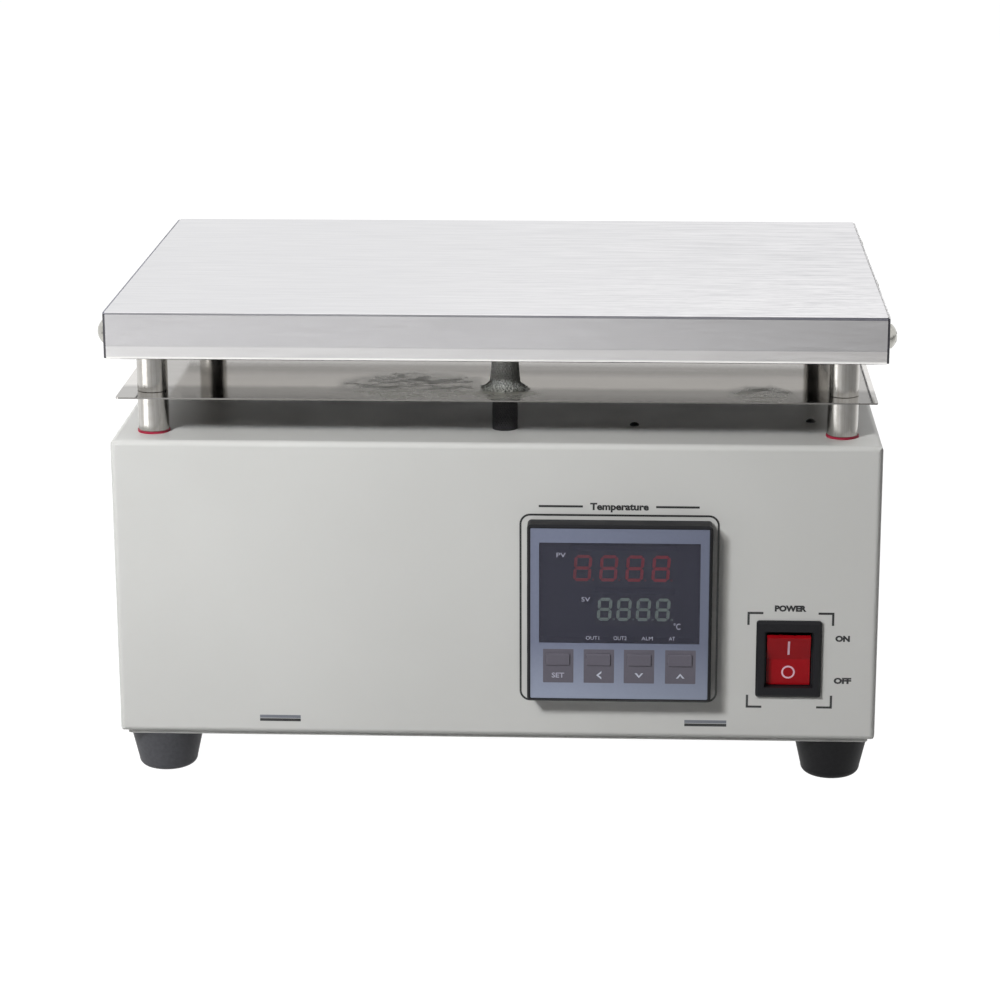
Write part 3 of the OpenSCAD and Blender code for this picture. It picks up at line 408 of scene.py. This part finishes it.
braid = {
    "light": (0.97, 0.97, 0.94), "dark": (0.82, 0.82, 0.78), "shadeGrey": (0.20, 0.20, 0.175), "rough": (0.75, 0.9),
    "shadeSide": (sleeveX - 0.5 * mm, sleeveX + 4.5 * mm, 0.0, 0.60),
    "shadeLow": (sleeveLow[2] + 1.4 * mm, sleeveLow[2] + 4.4 * mm, 0.90, 0.0),
}


def frayedBraid(c):  # glass braid, painted darker on its right side and where it lies on the shield: painted shade
    f = Finish("greyBraid", Sheen_Weight=0.2)
    x, y, z = f.axes(f.place)
    cloud = f.noise(900, 3, 0.6)
    broad = f.noise(140, 3, 0.6)
    shaded = f.span(x + (broad - 0.5) * 0.006, *c["shadeSide"])
    shaded = shaded.largest(f.span(z + (broad - 0.5) * 0.003, *c["shadeLow"]))
    grey = f.blend(f.contrast(cloud * 0.6 + broad * 0.4), c["light"], c["dark"])
    f.feed(Base_Color=f.blend(shaded, grey, c["shadeGrey"]), Roughness=f.spread(cloud, *c["rough"]))
    return f.bump(cloud, 0.3, 0.06 * mm).material


film = {
    "upper": (0.160, 0.178, 0.255), "lower": (0.320, 0.355, 0.455), "shade": (0.070, 0.078, 0.110),
    "rough": (0.40, 0.48), "reflectedLow": (meterZ - 34 * mm, meterZ - 12 * mm, 1.0, 0.0),
    "shadeRight": (meterX - 20 * mm, meterX + 36 * mm, 0.0, 0.30),
}


def filmPrint(c):  # the controller's printed film, paler towards its lower edge, a painted reflection, and darker to the right, painted shade
    f = Finish("blueGreyFilm")
    x, y, z = f.axes(f.place)
    cloud = f.noise(900, 3, 0.6)
    reflected = f.blend(f.span(z, *c["reflectedLow"]) * 0.8 + cloud * 0.2, c["upper"], c["lower"])
    f.feed(Base_Color=f.blend(f.span(x, *c["shadeRight"]), reflected, c["shade"]),
           Roughness=f.spread(cloud, *c["rough"]))
    return f.bump(cloud, 0.3, 0.01 * mm).material


# plain finishes: name, light and dark colour, lowest and highest roughness, grain per metre, relief in mm
finishes = {
    "casePaint": casePaint(paint),
    "aluminium": platedAluminium(plate),
    "shieldSteel": shieldSteel(shield),
    "drawnSteel": drawnSteel(tubeSteel),
    "brightSteel": brightSteel(screwSteel),
    "blackSteel": plain("blackSteel", (0.02, 0.02, 0.02), (0.03, 0.03, 0.03), 0.35, 0.5, Metallic=0.5),
    "redSilicone": plain("redSilicone", (0.36, 0.025, 0.055), (0.30, 0.02, 0.045), 0.4, 0.55,
                         Specular_IOR_Level=0.3),
    "fibre": endFibre(endCover),
    "heaterSteel": plain("heaterSteel", (0.42, 0.38, 0.33), (0.30, 0.27, 0.24), 0.35, 0.5, Metallic=1.0),
    "braid": frayedBraid(braid),
    # the lower sleeve is the same glass braid painted near black: painted shade under the shield
    "shadeBraid": plain("shadedLowerBraid", (0.060, 0.058, 0.060), (0.035, 0.034, 0.036), 0.75, 0.9, 900, 0.06),
    "leadBraid": plain("leadBraid", (0.70, 0.66, 0.56), (0.58, 0.54, 0.46), 0.8, 0.9, 900, 0.06),
    "blackPlastic": plain("blackPlastic", (0.010, 0.010, 0.012), (0.015, 0.015, 0.017), 0.38, 0.5, 1400,
                          Specular_IOR_Level=0.16),
    "film": filmPrint(film),
    "keyRubber": plain("keyPads", (0.110, 0.101, 0.127), (0.098, 0.091, 0.113), 0.42, 0.5, 900, 0.01),
    "display": plain("displayBlock", (0.010, 0.013, 0.012), (0.016, 0.019, 0.017), 0.5, 0.6),
    "digits": digitGlass(digits),
    "darkBoard": plain("displayBoard", (0.012, 0.016, 0.022), (0.017, 0.021, 0.028), 0.4, 0.5),
    "board": plain("circuitBoard", (0.02, 0.13, 0.05), (0.03, 0.17, 0.07), 0.3, 0.4),
    "brass": plain("platedBrass", (0.70, 0.58, 0.32), (0.60, 0.48, 0.26), 0.28, 0.36, Metallic=1.0),
    "redPlastic": plain("redPlastic", (0.37, 0.005, 0.010), (0.32, 0.004, 0.008), 0.20, 0.26, 300, 0.008,
                        Specular_IOR_Level=0.12),
    "whitePlastic": plain("whitePlastic", (0.76, 0.75, 0.70), (0.70, 0.69, 0.64), 0.35, 0.45),
    "rubber": plain("footRubber", (0.007, 0.007, 0.008), (0.013, 0.013, 0.014), 0.5, 0.62, 700, 0.03,
                    Specular_IOR_Level=0.15),
    # the left feet are paler: painted light where the lamps fall on them
    "litRubber": plain("litFootRubber", (0.062, 0.062, 0.069), (0.085, 0.085, 0.093), 0.5, 0.62, 700,
                         0.03, Specular_IOR_Level=0.25),
    "window": plain("smokedWindow", (0.080, 0.080, 0.112), (0.073, 0.073, 0.103), 0.30, 0.34, 60, 0.0,
                    Alpha=0.45, Specular_IOR_Level=0.3),
    "fuseGlass": plain("fuseGlass", (0.8, 0.85, 0.85), (0.7, 0.75, 0.75), 0.05, 0.1, Alpha=0.5),
    "blackInk": plain("blackInk", (0.012, 0.012, 0.013), (0.020, 0.020, 0.021), 0.35, 0.45, 900, 0.0),
    "blueInk": plain("blueInk", (0.19, 0.20, 0.23), (0.17, 0.18, 0.21), 0.35, 0.45, 900, 0.0),
    "whiteInk": plain("whiteInk", (0.56, 0.58, 0.66), (0.50, 0.52, 0.60), 0.45, 0.55, 900, 0.0),
    "greyInk": plain("greyInk", (0.43, 0.43, 0.51), (0.38, 0.38, 0.46), 0.45, 0.55, 900, 0.0),
    "dialInk": plain("rockerInk", (0.80, 0.52, 0.62), (0.74, 0.48, 0.57), 0.3, 0.4, 900, 0.0),
}

nodeFinish = {
    "casePaint": ["case_shell", "bottom_plate"],
    "aluminium": ["heating_plate", "relay_heatsink"],
    "shieldSteel": ["heat_shield"],
    "drawnSteel": ["upper_sleeves", "lower_sleeves"],
    "brightSteel": ["bottom_screws", "foot_washers", "foot_screws", "foot_nuts", "fixing_screws", "top_nuts",
                    "post_studs", "post_nuts", "end_cover_screws", "meter_clamp_screws", "inlet_screws",
                    "relay_screws", "earth_stud"],
    "blackSteel": ["top_screws"],
    "redSilicone": ["insulating_washers"],
    "fibre": ["end_cover_left", "end_cover_right"],
    "heaterSteel": ["heater_cartridges", "thermocouple_probe"],
    "leadBraid": ["heater_leads"],
    "braid": ["lead_sleeve_upper"],
    # the lower sleeve gets the near-black braid: painted shade
    "shadeBraid": ["lead_sleeve_lower"],
    "blackPlastic": ["meter_bezel", "meter_housing", "meter_terminals", "meter_clamps", "switch_body",
                     "inlet_body", "fuse_drawer"],
    "film": ["meter_overlay"],
    "keyRubber": ["key_set", "key_shift", "key_down", "key_up"],
    "display": ["pv_display", "sv_display"],
    "digits": ["digit_segments"],
    "window": ["meter_window"],
    "board": ["meter_main_board"],
    "darkBoard": ["meter_front_board"],
    "brass": ["meter_terminal_screws", "switch_terminals", "inlet_pins", "earth_nuts"],
    "redPlastic": ["rocker"],
    "whitePlastic": ["solid_state_relay", "terminal_block"],
    "rubber": ["foot_front_right", "foot_rear_right"],
    # the left feet get the paler rubber: painted light
    "litRubber": ["foot_front_left", "foot_rear_left"],
    "fuseGlass": ["fuse"],
}
for finish, names in nodeFinish.items():
    for name in names:
        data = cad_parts[name].data
        data.materials.clear()
        data.materials.append(finishes[finish])
undressed = set(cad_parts) - {name for names in nodeFinish.values() for name in names}
print("stage: materials, nodes without one:", sorted(undressed))


def keep(name, mesh, finish, body):
    mesh.materials.clear()
    mesh.materials.append(finishes[finish])
    piece = bpy.data.objects.new(name, mesh)
    bpy.context.scene.collection.objects.link(piece)
    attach(piece, body)
    return piece


def turnedOut(bm, name):  # the finished mesh, with its faces pointing outwards
    bmesh.ops.recalc_face_normals(bm, faces=bm.faces)
    mesh = bpy.data.meshes.new(name)
    bm.to_mesh(mesh)
    bm.free()
    return mesh


def roundLoop(left, right, low, high, radius, steps=8):
    if radius <= 0:
        return [(left, low), (right, low), (right, high), (left, high)]
    loop = []
    for cx, cz, start in ((right - radius, low + radius, -90), (right - radius, high - radius, 0),
                          (left + radius, high - radius, 90), (left + radius, low + radius, 180)):
        for i in range(steps + 1):
            a = math.radians(start + 90 * i / steps)
            loop.append((cx + radius * math.cos(a), cz + radius * math.sin(a)))
    return loop


def addSlab(bm, outer, inner, at):  # a closed slab, perhaps with a hole; at places a point of its front or back
    def ring(loop, behind): return [bm.verts.new(at(point, behind)) for point in loop]
    outFront, outBack = ring(outer, False), ring(outer, True)
    if inner is None:
        bm.faces.new(outFront)
        bm.faces.new(outBack[::-1])
    else:
        inFront, inBack = ring(inner, False), ring(inner, True)
    for i in range(len(outer)):
        j = (i + 1) % len(outer)
        bm.faces.new((outFront[j], outFront[i], outBack[i], outBack[j]))
        if inner is not None:
            bm.faces.new((inFront[i], inFront[j], inBack[j], inBack[i]))
            bm.faces.new((outFront[i], outFront[j], inFront[j], inFront[i]))
            bm.faces.new((outBack[j], outBack[i], inBack[i], inBack[j]))


def panelPiece(name, shapes, front, back, finish, body):
    bm = bmesh.new()
    for outer, inner in shapes:
        addSlab(bm, outer, inner, lambda point, behind: (point[0], back if behind else front, point[1]))
    return keep(name, turnedOut(bm, name), finish, body)


def words(name, lines, front, finish, body, depth=0.02 * mm, weld=0.002 * mm):
    # each line is its text, left, right, low and high in metres on the front, and how bold it is
    whole = bmesh.new()
    for text, left, right, low, high, bold in lines:
        curve = bpy.data.curves.new("word", "FONT")
        curve.body, curve.size, curve.extrude, curve.offset = text, 1, 0.01, bold
        curve.resolution_u = 3
        holder = bpy.data.objects.new("word", curve)
        bpy.context.scene.collection.objects.link(holder)
        mesh = bpy.data.meshes.new_from_object(holder.evaluated_get(bpy.context.evaluated_depsgraph_get()))
        bpy.data.objects.remove(holder)
        bpy.data.curves.remove(curve)
        xs, ys = [v.co.x for v in mesh.vertices], [v.co.y for v in mesh.vertices]
        wide, tall = (right - left) / (max(xs) - min(xs)), (high - low) / (max(ys) - min(ys))
        for v in mesh.vertices:
            x, y, z = v.co
            v.co = (left + (x - min(xs)) * wide, front + (depth if z < 0 else 0), low + (y - min(ys)) * tall)
        whole.from_mesh(mesh)
        bpy.data.meshes.remove(mesh)
    bmesh.ops.remove_doubles(whole, verts=whole.verts, dist=weld)
    return keep(name, turnedOut(whole, name), finish, body)


ink = 0.03 * mm   # how far a print stands off what it is printed on
print("stage: building helpers")

# black print on the case, in mm across from the middle and up from the case's lower edge
casePrint = {
    "outline": (9.6, 87.5, 15.1, 92.0), "outlineWidth": 0.8, "outlineRadius": 4.2,
    "titleZ": 95.1, "titleLines": ((17.1, 34.3), (62.7, 79.6)), "titleLineWidth": 0.85,
    "words": (("Temperature", 37.1, 59.9, 92.8, 96.6, 0.042), ("POWER", 109.5, 121.9, 53.1, 55.7, 0.062),
              ("ON", 133.4, 139.1, 40.9, 43.5, 0.062), ("OFF", 133.2, 140.1, 23.5, 26.1, 0.062)),
    "brackets": (98.9, 132.8, 13.2, 52.9), "bracketAcross": 6.2, "bracketUp": 5.4, "bracketWidth": 0.9,
    "bars": ((-93.9, -77.6), (74.8, 91.4)), "barLow": (5.1, 6.25), "barHigh": (6.45, 7.7),
}


def onCase(left, right, low, high): return left * mm, right * mm, caseZ + low * mm, caseZ + high * mm


def caseLines(c):
    left, right, low, high = onCase(*c["outline"])
    w, r = c["outlineWidth"] * mm, c["outlineRadius"] * mm
    shapes = [(roundLoop(left, right, low, high, r),
               roundLoop(left + w, right - w, low + w, high - w, r - w))]
    w = c["titleLineWidth"] / 2
    for a, b in c["titleLines"]:
        shapes.append((roundLoop(*onCase(a, b, c["titleZ"] - w, c["titleZ"] + w), 0), None))
    left, right, low, high = c["brackets"]
    w, across, up = c["bracketWidth"], c["bracketAcross"], c["bracketUp"]
    for x, sx in ((left, 1), (right, -1)):
        for z, sz in ((low, 1), (high, -1)):
            corner = [(x, z), (x + sx * across, z), (x + sx * across, z + sz * w), (x + sx * w, z + sz * w),
                      (x + sx * w, z + sz * up), (x, z + sz * up)]
            if sx * sz < 0:
                corner.reverse()
            shapes.append(([(px * mm, caseZ + pz * mm) for px, pz in corner], None))
    return shapes + caseBars(c, "barLow")


def caseBars(c, level): return [(roundLoop(*onCase(a, b, *c[level]), 0), None) for a, b in c["bars"]]


panelPiece("case_print_lines", caseLines(casePrint), frontY - ink, frontY, "blackInk", "platform")
panelPiece("case_print_bars", caseBars(casePrint, "barHigh"), frontY - ink, frontY, "blueInk", "platform")
words("case_print_words", [(text, *onCase(*place), bold) for text, *place, bold in casePrint["words"]],
      frontY - ink, "blackInk", "platform")
print("stage: print on the case")

# printed face of the controller, in mm from its middle
facePrint = {
    "tilesAt": (-23.75, -7.85, 7.85, 24.0), "tileWide": 11.9, "tileLow": -28.2, "tileHigh": -14.4,
    "tileRound": 0.25,
    "padAt": (-23.925, -7.975, 7.975, 23.925), "padWide": 9.6, "padHigh": 5.0, "padLevel": -18.6,
    "padRound": 0.95, "padGap": 0.06,
    "words": (("PV", -24.5, -21.0, 23.1, 24.9, 0.0), ("SV", -14.8, -11.4, 5.2, 7.0, 0.0),
              ("°C", 21.2, 23.8, -5.9, -3.3, 0.0), ("SET", -26.3, -21.4, -26.2, -24.1, 0.02),
              ("OUT1", -13.0, -7.8, -10.4, -8.9, 0.0), ("OUT2", -2.2, 2.9, -10.4, -8.9, 0.0),
              ("ALM", 8.7, 13.1, -10.4, -8.9, 0.0), ("AT", 19.4, 21.8, -10.4, -8.9, 0.0)),
    "arrows": ((-7.85, -25.0, 90), (7.85, -25.0, 180), (24.0, -25.0, 0)), "arrowWide": 3.4, "arrowTall": 2.0,
    "arrowStroke": 0.7,
}


def arrowLoop(cx, cz, turn, wide, tall, stroke):  # a chevron that points up, turned anticlockwise
    s = stroke * 1.2
    points = [(-wide / 2, -tall / 2), (-wide / 2 + s, -tall / 2), (0, tall / 2 - s), (wide / 2 - s, -tall / 2),
              (wide / 2, -tall / 2), (0, tall / 2)]
    a = math.radians(turn)
    return [(cx + x * math.cos(a) - z * math.sin(a), cz + x * math.sin(a) + z * math.cos(a)) for x, z in points]


def onMeter(loop): return [(meterX + x * mm, meterZ + z * mm) for x, z in loop]


def makeFace(c):
    tiles = []
    half, pad, tall = c["tileWide"] / 2, c["padWide"] / 2 + c["padGap"], c["padHigh"] / 2 + c["padGap"]
    for tileX, padX in zip(c["tilesAt"], c["padAt"]):
        tile = roundLoop(tileX - half, tileX + half, c["tileLow"], c["tileHigh"], c["tileRound"])
        hole = roundLoop(padX - pad, padX + pad, c["padLevel"] - tall, c["padLevel"] + tall, c["padRound"])
        tiles.append((onMeter(tile), onMeter(hole)))
    panelPiece("meter_key_tiles", tiles, filmY - ink, filmY, "keyRubber", "platform")
    arrows = [(onMeter(arrowLoop(x, z, turn, c["arrowWide"], c["arrowTall"], c["arrowStroke"])), None)
              for x, z, turn in c["arrows"]]
    panelPiece("meter_key_arrows", arrows, filmY - 2 * ink, filmY - ink, "whiteInk", "platform")
    lines = [(text, meterX + a * mm, meterX + b * mm, meterZ + low * mm, meterZ + high * mm, bold)
             for text, a, b, low, high, bold in c["words"]]
    words("meter_words", lines, filmY - 2 * ink, "greyInk", "platform")


makeFace(facePrint)
print("stage: print on the controller")

# the I and O on the rocker, laid on its two sloping faces, in mm and degrees
rockerMarks = {"pivotY": 5.2, "mid": 4.06, "gap": 0.02, "tilt": 10, "lift": 0.02, "barAt": 5.6, "barLong": 6.6,
               "barWide": 0.8, "ringAt": -5.3, "ringOut": 2.65, "ringIn": 2.0, "ringSteps": 40}


def rockerFace(c, along, across):  # a point on the face, along it from the ridge, in metres
    slope = math.radians(c["tilt"])
    y = -c["mid"] - abs(along) * math.sin(slope) - c["gap"]
    z = along * math.cos(slope)
    y, z = y * math.cos(slope) - z * math.sin(slope), y * math.sin(slope) + z * math.cos(slope)
    return Vector((switchX + across * mm, frontY + (c["pivotY"] + y) * mm, switchZ + z * mm))


def markMesh(c):
    def at(point, behind):
        return rockerFace(c, point[1], point[0]) + Vector((0, c["lift"] * mm * (1 if behind else -1), 0))

    def circle(radius):
        turns = [math.tau * i / c["ringSteps"] for i in range(c["ringSteps"])]
        return [(radius * math.cos(a), c["ringAt"] + radius * math.sin(a)) for a in turns]

    bm = bmesh.new()
    half, tall = c["barWide"] / 2, c["barLong"] / 2
    addSlab(bm, roundLoop(-half, half, c["barAt"] - tall, c["barAt"] + tall, 0), None, at)
    addSlab(bm, circle(c["ringOut"]), circle(c["ringIn"]), at)
    return turnedOut(bm, "rocker_marks")


keep("rocker_marks", markMesh(rockerMarks), "dialInk", "rocker")
print("stage: rocker marks")

# the glass braid round the heater leads: woven yarns over a thin inner sleeve, flared and frayed on the shield
sleeve = {"Yarns": 28, "Turns": 0.30, "Yarn": 0.34 * mm, "Weave": 0.15 * mm, "Neck": 4.55 * mm,
          "Body": 1.2 * mm, "Flare": 1.8 * mm, "FlareHigh": 2.3 * mm, "Folds": 0.55 * mm, "Lean": 3.0 * mm,
          "Points": 96}
yarnsUp, yarnsShort = 0.5 * mm, 0.6 * mm   # the yarns start above the shield, and are shorter than the sleeve
fringe = {"Hairs": 520, "Hair": 0.10 * mm, "Reach": 3.4 * mm, "Tufts": 10}
lowerSleeve = {"Points": 130, "Turns": 0.32}   # under the shield; the turns are for the upper one's length


def foldAt(sin, angle):  # the pleats round the sleeve, from -1 to 1, for numbers and for wires
    return 0.55 * sin(angle * 11 + 0.7) + 0.30 * sin(angle * 5 + 2.1) + 0.30 * sin(angle * 2 + 1.2)


def openAt(cos, angle): return 0.88 + 0.12 * cos(angle * 2)   # the end is spread more to both sides


def swell(c, down, spread, pleat):  # how far the sleeve stands out past its neck
    return down * down * c["Body"] + spread * c["Flare"] + pleat * c["Folds"] * (0.6 + spread * 0.7)


def wovenForm(name, sizes, low, tall, flared):
    f = Form(name, sizes)
    g = f.given
    parts = []
    for way in (1, -1):
        curves, along, number = f.strands(g["Yarns"], g["Points"])
        angle = number / g["Yarns"] * math.tau + along * g["Turns"] * math.tau * way
        crossing = (along * g["Yarns"] * g["Turns"] * math.tau).cos()
        radius = g["Neck"] + crossing * g["Weave"] * way
        lean = 0.0
        if flared:
            down = 1 - along
            spread = f.node("ShaderNodeMapRange", {"interpolation_type": "SMOOTHSTEP"},
                            {0: along * tall, 1: 0.0, 2: g["FlareHigh"], 3: 1.0, 4: 0.0})
            radius = radius + swell(g, down, spread * openAt(Wire.cos, angle), foldAt(Wire.sin, angle))
            lean = down * down * g["Lean"]   # the open end has slid forwards a little
        place = f.vector(sleeveX + radius * angle.cos(), sleeveY + radius * angle.sin() - lean,
                         low + along * tall)
        parts.append(f.tubes(curves, place, g["Yarn"], 5))
    return f.mesh(parts, finishes["braid" if flared else "shadeBraid"])


def innerSleeve(low, tall, flared, c, wall=0.5 * mm, around=88, rows=22):
    bm = bmesh.new()

    def ring(inset, t):
        loop, down = [], 1 - t
        rise = min(1, t * tall / c["FlareHigh"])
        spread = 1 - rise * rise * (3 - 2 * rise)
        for i in range(around):
            angle = math.tau * i / around
            radius, lean = c["Neck"] - inset, 0
            if flared:
                radius += swell(c, down, spread * openAt(math.cos, angle), foldAt(math.sin, angle))
                lean = down * down * c["Lean"]
            loop.append(bm.verts.new((sleeveX + radius * math.cos(angle),
                                      sleeveY + radius * math.sin(angle) - lean, low + t * tall)))
        return loop

    rings = [ring(0, i / rows) for i in range(rows + 1)] + [ring(wall, 1 - i / rows) for i in range(rows + 1)]
    for a, b in zip(rings, rings[1:] + rings[:1]):
        for i in range(around):
            j = (i + 1) % around
            bm.faces.new((a[i], a[j], b[j], b[i]))
    bmesh.ops.recalc_face_normals(bm, faces=bm.faces)
    return bm


def frayedEnd(c, low):
    f = Form("frayedEnd", c)
    g = f.given
    curves, along, number = f.strands(g["Hairs"], 6)
    start = number.math("MODULO", number, g["Tufts"]) / g["Tufts"] * math.tau + f.random(number, -0.30, 0.30, 3)
    swing = f.random(number, -0.9, 0.9, 5)
    lift = f.random(number, 0.15 * mm, 2.4 * mm, 7)
    reach = f.random(number, 0.15, 1.0, 11)
    curl = f.random(number, -1.0, 1.0, 13)
    outside = swell(sleeve, 1, openAt(Wire.cos, start), foldAt(Wire.sin, start))
    root = sleeve["Neck"] - 0.3 * mm + outside - lift * 0.5
    heading = start + swing + curl * along * 1.2
    sideways = 0.5 + 0.5 * (start * 2).cos()
    out = along * reach * g["Reach"] * (0.35 + 0.65 * sideways)
    drop = (1 - along) * (1 - along)
    place = f.vector(sleeveX + root * start.cos() + out * heading.cos(),
                     sleeveY + root * start.sin() + out * heading.sin() - sleeve["Lean"] * 0.9,
                     low + 0.14 * mm + lift * (0.25 + 0.75 * drop))
    return f.mesh([f.tubes(curves, place, g["Hair"], 3)], finishes["braid"])


def joined(bm, meshes):  # the inner sleeve and all that lies over it, as one mesh
    for mesh in meshes:
        bm.from_mesh(mesh)
    bm.to_mesh(meshes[-1])
    bm.free()
    for mesh in meshes[:-1]:
        bpy.data.meshes.remove(mesh)
    return meshes[-1]


def makeSleeve():
    low, tall = sleeveLow[2], sleeveHigh[2] - sleeveLow[2]
    woven = wovenForm("wovenUpper", sleeve, low + yarnsUp, tall - yarnsShort, True)
    mesh = joined(innerSleeve(low, tall, True, sleeve), [woven, frayedEnd(fringe, low)])
    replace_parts(keep("braided_sleeve_upper", mesh, "braid", "platform"), "lead_sleeve_upper")

    low, high = (corner[2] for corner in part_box("lead_sleeve_lower"))
    sizes = dict(sleeve, Points=lowerSleeve["Points"], Turns=lowerSleeve["Turns"] * (high - low) / tall)
    woven = wovenForm("wovenLower", sizes, low, high - low - yarnsShort, False)
    mesh = joined(innerSleeve(low, high - low - 0.1 * mm, False, sizes, rows=2), [woven])
    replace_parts(keep("braided_sleeve_lower", mesh, "shadeBraid", "platform"), "lead_sleeve_lower")


makeSleeve()
print("stage: braided sleeve")

# stage and light
room = {"floor": (0.38, 0.38, 0.38), "half": 6, "world": 0.02, "glow": 1.40, "shown": 0.72,
        "paper": (-0.75, -0.25), "turned": 0.8, "beyond": 0.15}


def lightPaths(g):  # whether the camera or a mirror looks; what paint sees in metal stays as lit
    path = g.node("ShaderNodeLightPath").socket.node
    direct = Wire(g, path.outputs["Diffuse Depth"]) < 0.5
    mirrored = Wire(g, path.outputs["Is Glossy Ray"]) + Wire(g, path.outputs["Is Transmission Ray"])
    return Wire(g, path.outputs["Is Camera Ray"]), mirrored, direct


def makeRoom(c):
    mesh = bpy.data.meshes.new("floor")
    h = c["half"]
    mesh.from_pydata([(-h, -h, 0), (h, -h, 0), (h, h, 0), (-h, h, 0)], [], [(0, 1, 2, 3)])
    floor = bpy.data.objects.new("floor", mesh)
    bpy.context.scene.collection.objects.link(floor)
    f = Finish("floorPaper", c["floor"], Roughness=0.9, Specular_IOR_Level=0.1)
    x, y, z = f.axes(f.place)
    paper = f.span(y - x * c["turned"], *c["paper"], c["beyond"], 1.0)   # the sheet ends in front of the object
    viewed, mirrored, direct = lightPaths(f)
    seen = (viewed + mirrored * paper) * direct * c["shown"]
    glow = f.node("ShaderNodeEmission", None, {"Color": (1, 1, 1), "Strength": c["glow"]})
    mixed = f.node("ShaderNodeMixShader", None, {0: seen, 1: Wire(f, f.shader.outputs[0]), 2: glow})
    f.tree.links.new(mixed.socket, f.tree.nodes["Material Output"].inputs["Surface"])
    mesh.materials.append(f.material)

    world = bpy.data.worlds.new("studio")
    bpy.context.scene.world = world
    world.use_nodes = True
    g = Graph()
    g.tree = world.node_tree
    viewed, mirrored, direct = lightPaths(g)
    back = g.tree.nodes["Background"]
    back.inputs["Color"].default_value = (1, 1, 1, 1)
    strength = c["world"] + (viewed + mirrored) * direct * (1 - c["world"])
    g.tree.links.new(strength.socket, back.inputs["Strength"])


# each lamp is as tall as it is wide unless it says so; a dull one lights paint and leaves metal alone
lamps = {
    "key": {"at": (-0.36, -0.58, 0.52), "to": (-0.05, 0, 0.1), "size": 0.10, "power": 3.35,
            "color": (0.95, 0.975, 1.0), "dull": True},
    "high": {"at": (-0.60, -1.10, 1.10), "to": (-0.05, 0, 0.1), "size": 0.25, "power": 9.3,
             "color": (1.0, 0.99, 0.965), "dull": True},
    "low": {"at": (-0.44, -0.33, 0.055), "to": (-0.13, -0.07, 0.12), "size": 0.26, "tall": 0.09, "power": 0.15,
            "color": (1, 1, 1)},
    "top": {"at": (-0.30, -0.40, 1.60), "to": (0, 0, 0.15), "size": 1.0, "power": 1.5, "color": (1, 1, 1)},
    "side": {"at": (1.20, 0.85, 1.25), "to": (0, 0, 0.1), "size": 1.0, "power": 12.0, "color": (1, 1, 0.99),
             "dull": True},
    "rear": {"at": (-1.15, 0.95, 1.25), "to": (0, 0, 0.1), "size": 1.0, "power": 10.0, "color": (1, 1, 0.99),
             "dull": True},
}


def makeLamps(c):
    for name, lamp in c.items():
        data = bpy.data.lights.new(name, "AREA")
        data.shape, data.size, data.size_y = "RECTANGLE", lamp["size"], lamp.get("tall", lamp["size"])
        data.energy, data.color = lamp["power"], lamp["color"]
        piece = bpy.data.objects.new(name, data)
        bpy.context.scene.collection.objects.link(piece)
        piece.location = lamp["at"]
        piece.rotation_euler = (Vector(lamp["to"]) - Vector(lamp["at"])).to_track_quat("-Z", "Y").to_euler()
        piece.visible_glossy = not lamp.get("dull", False)


makeRoom(room)
makeLamps(lamps)
bpy.context.scene.view_settings.view_transform = "Standard"
print("stage: room and lamps")
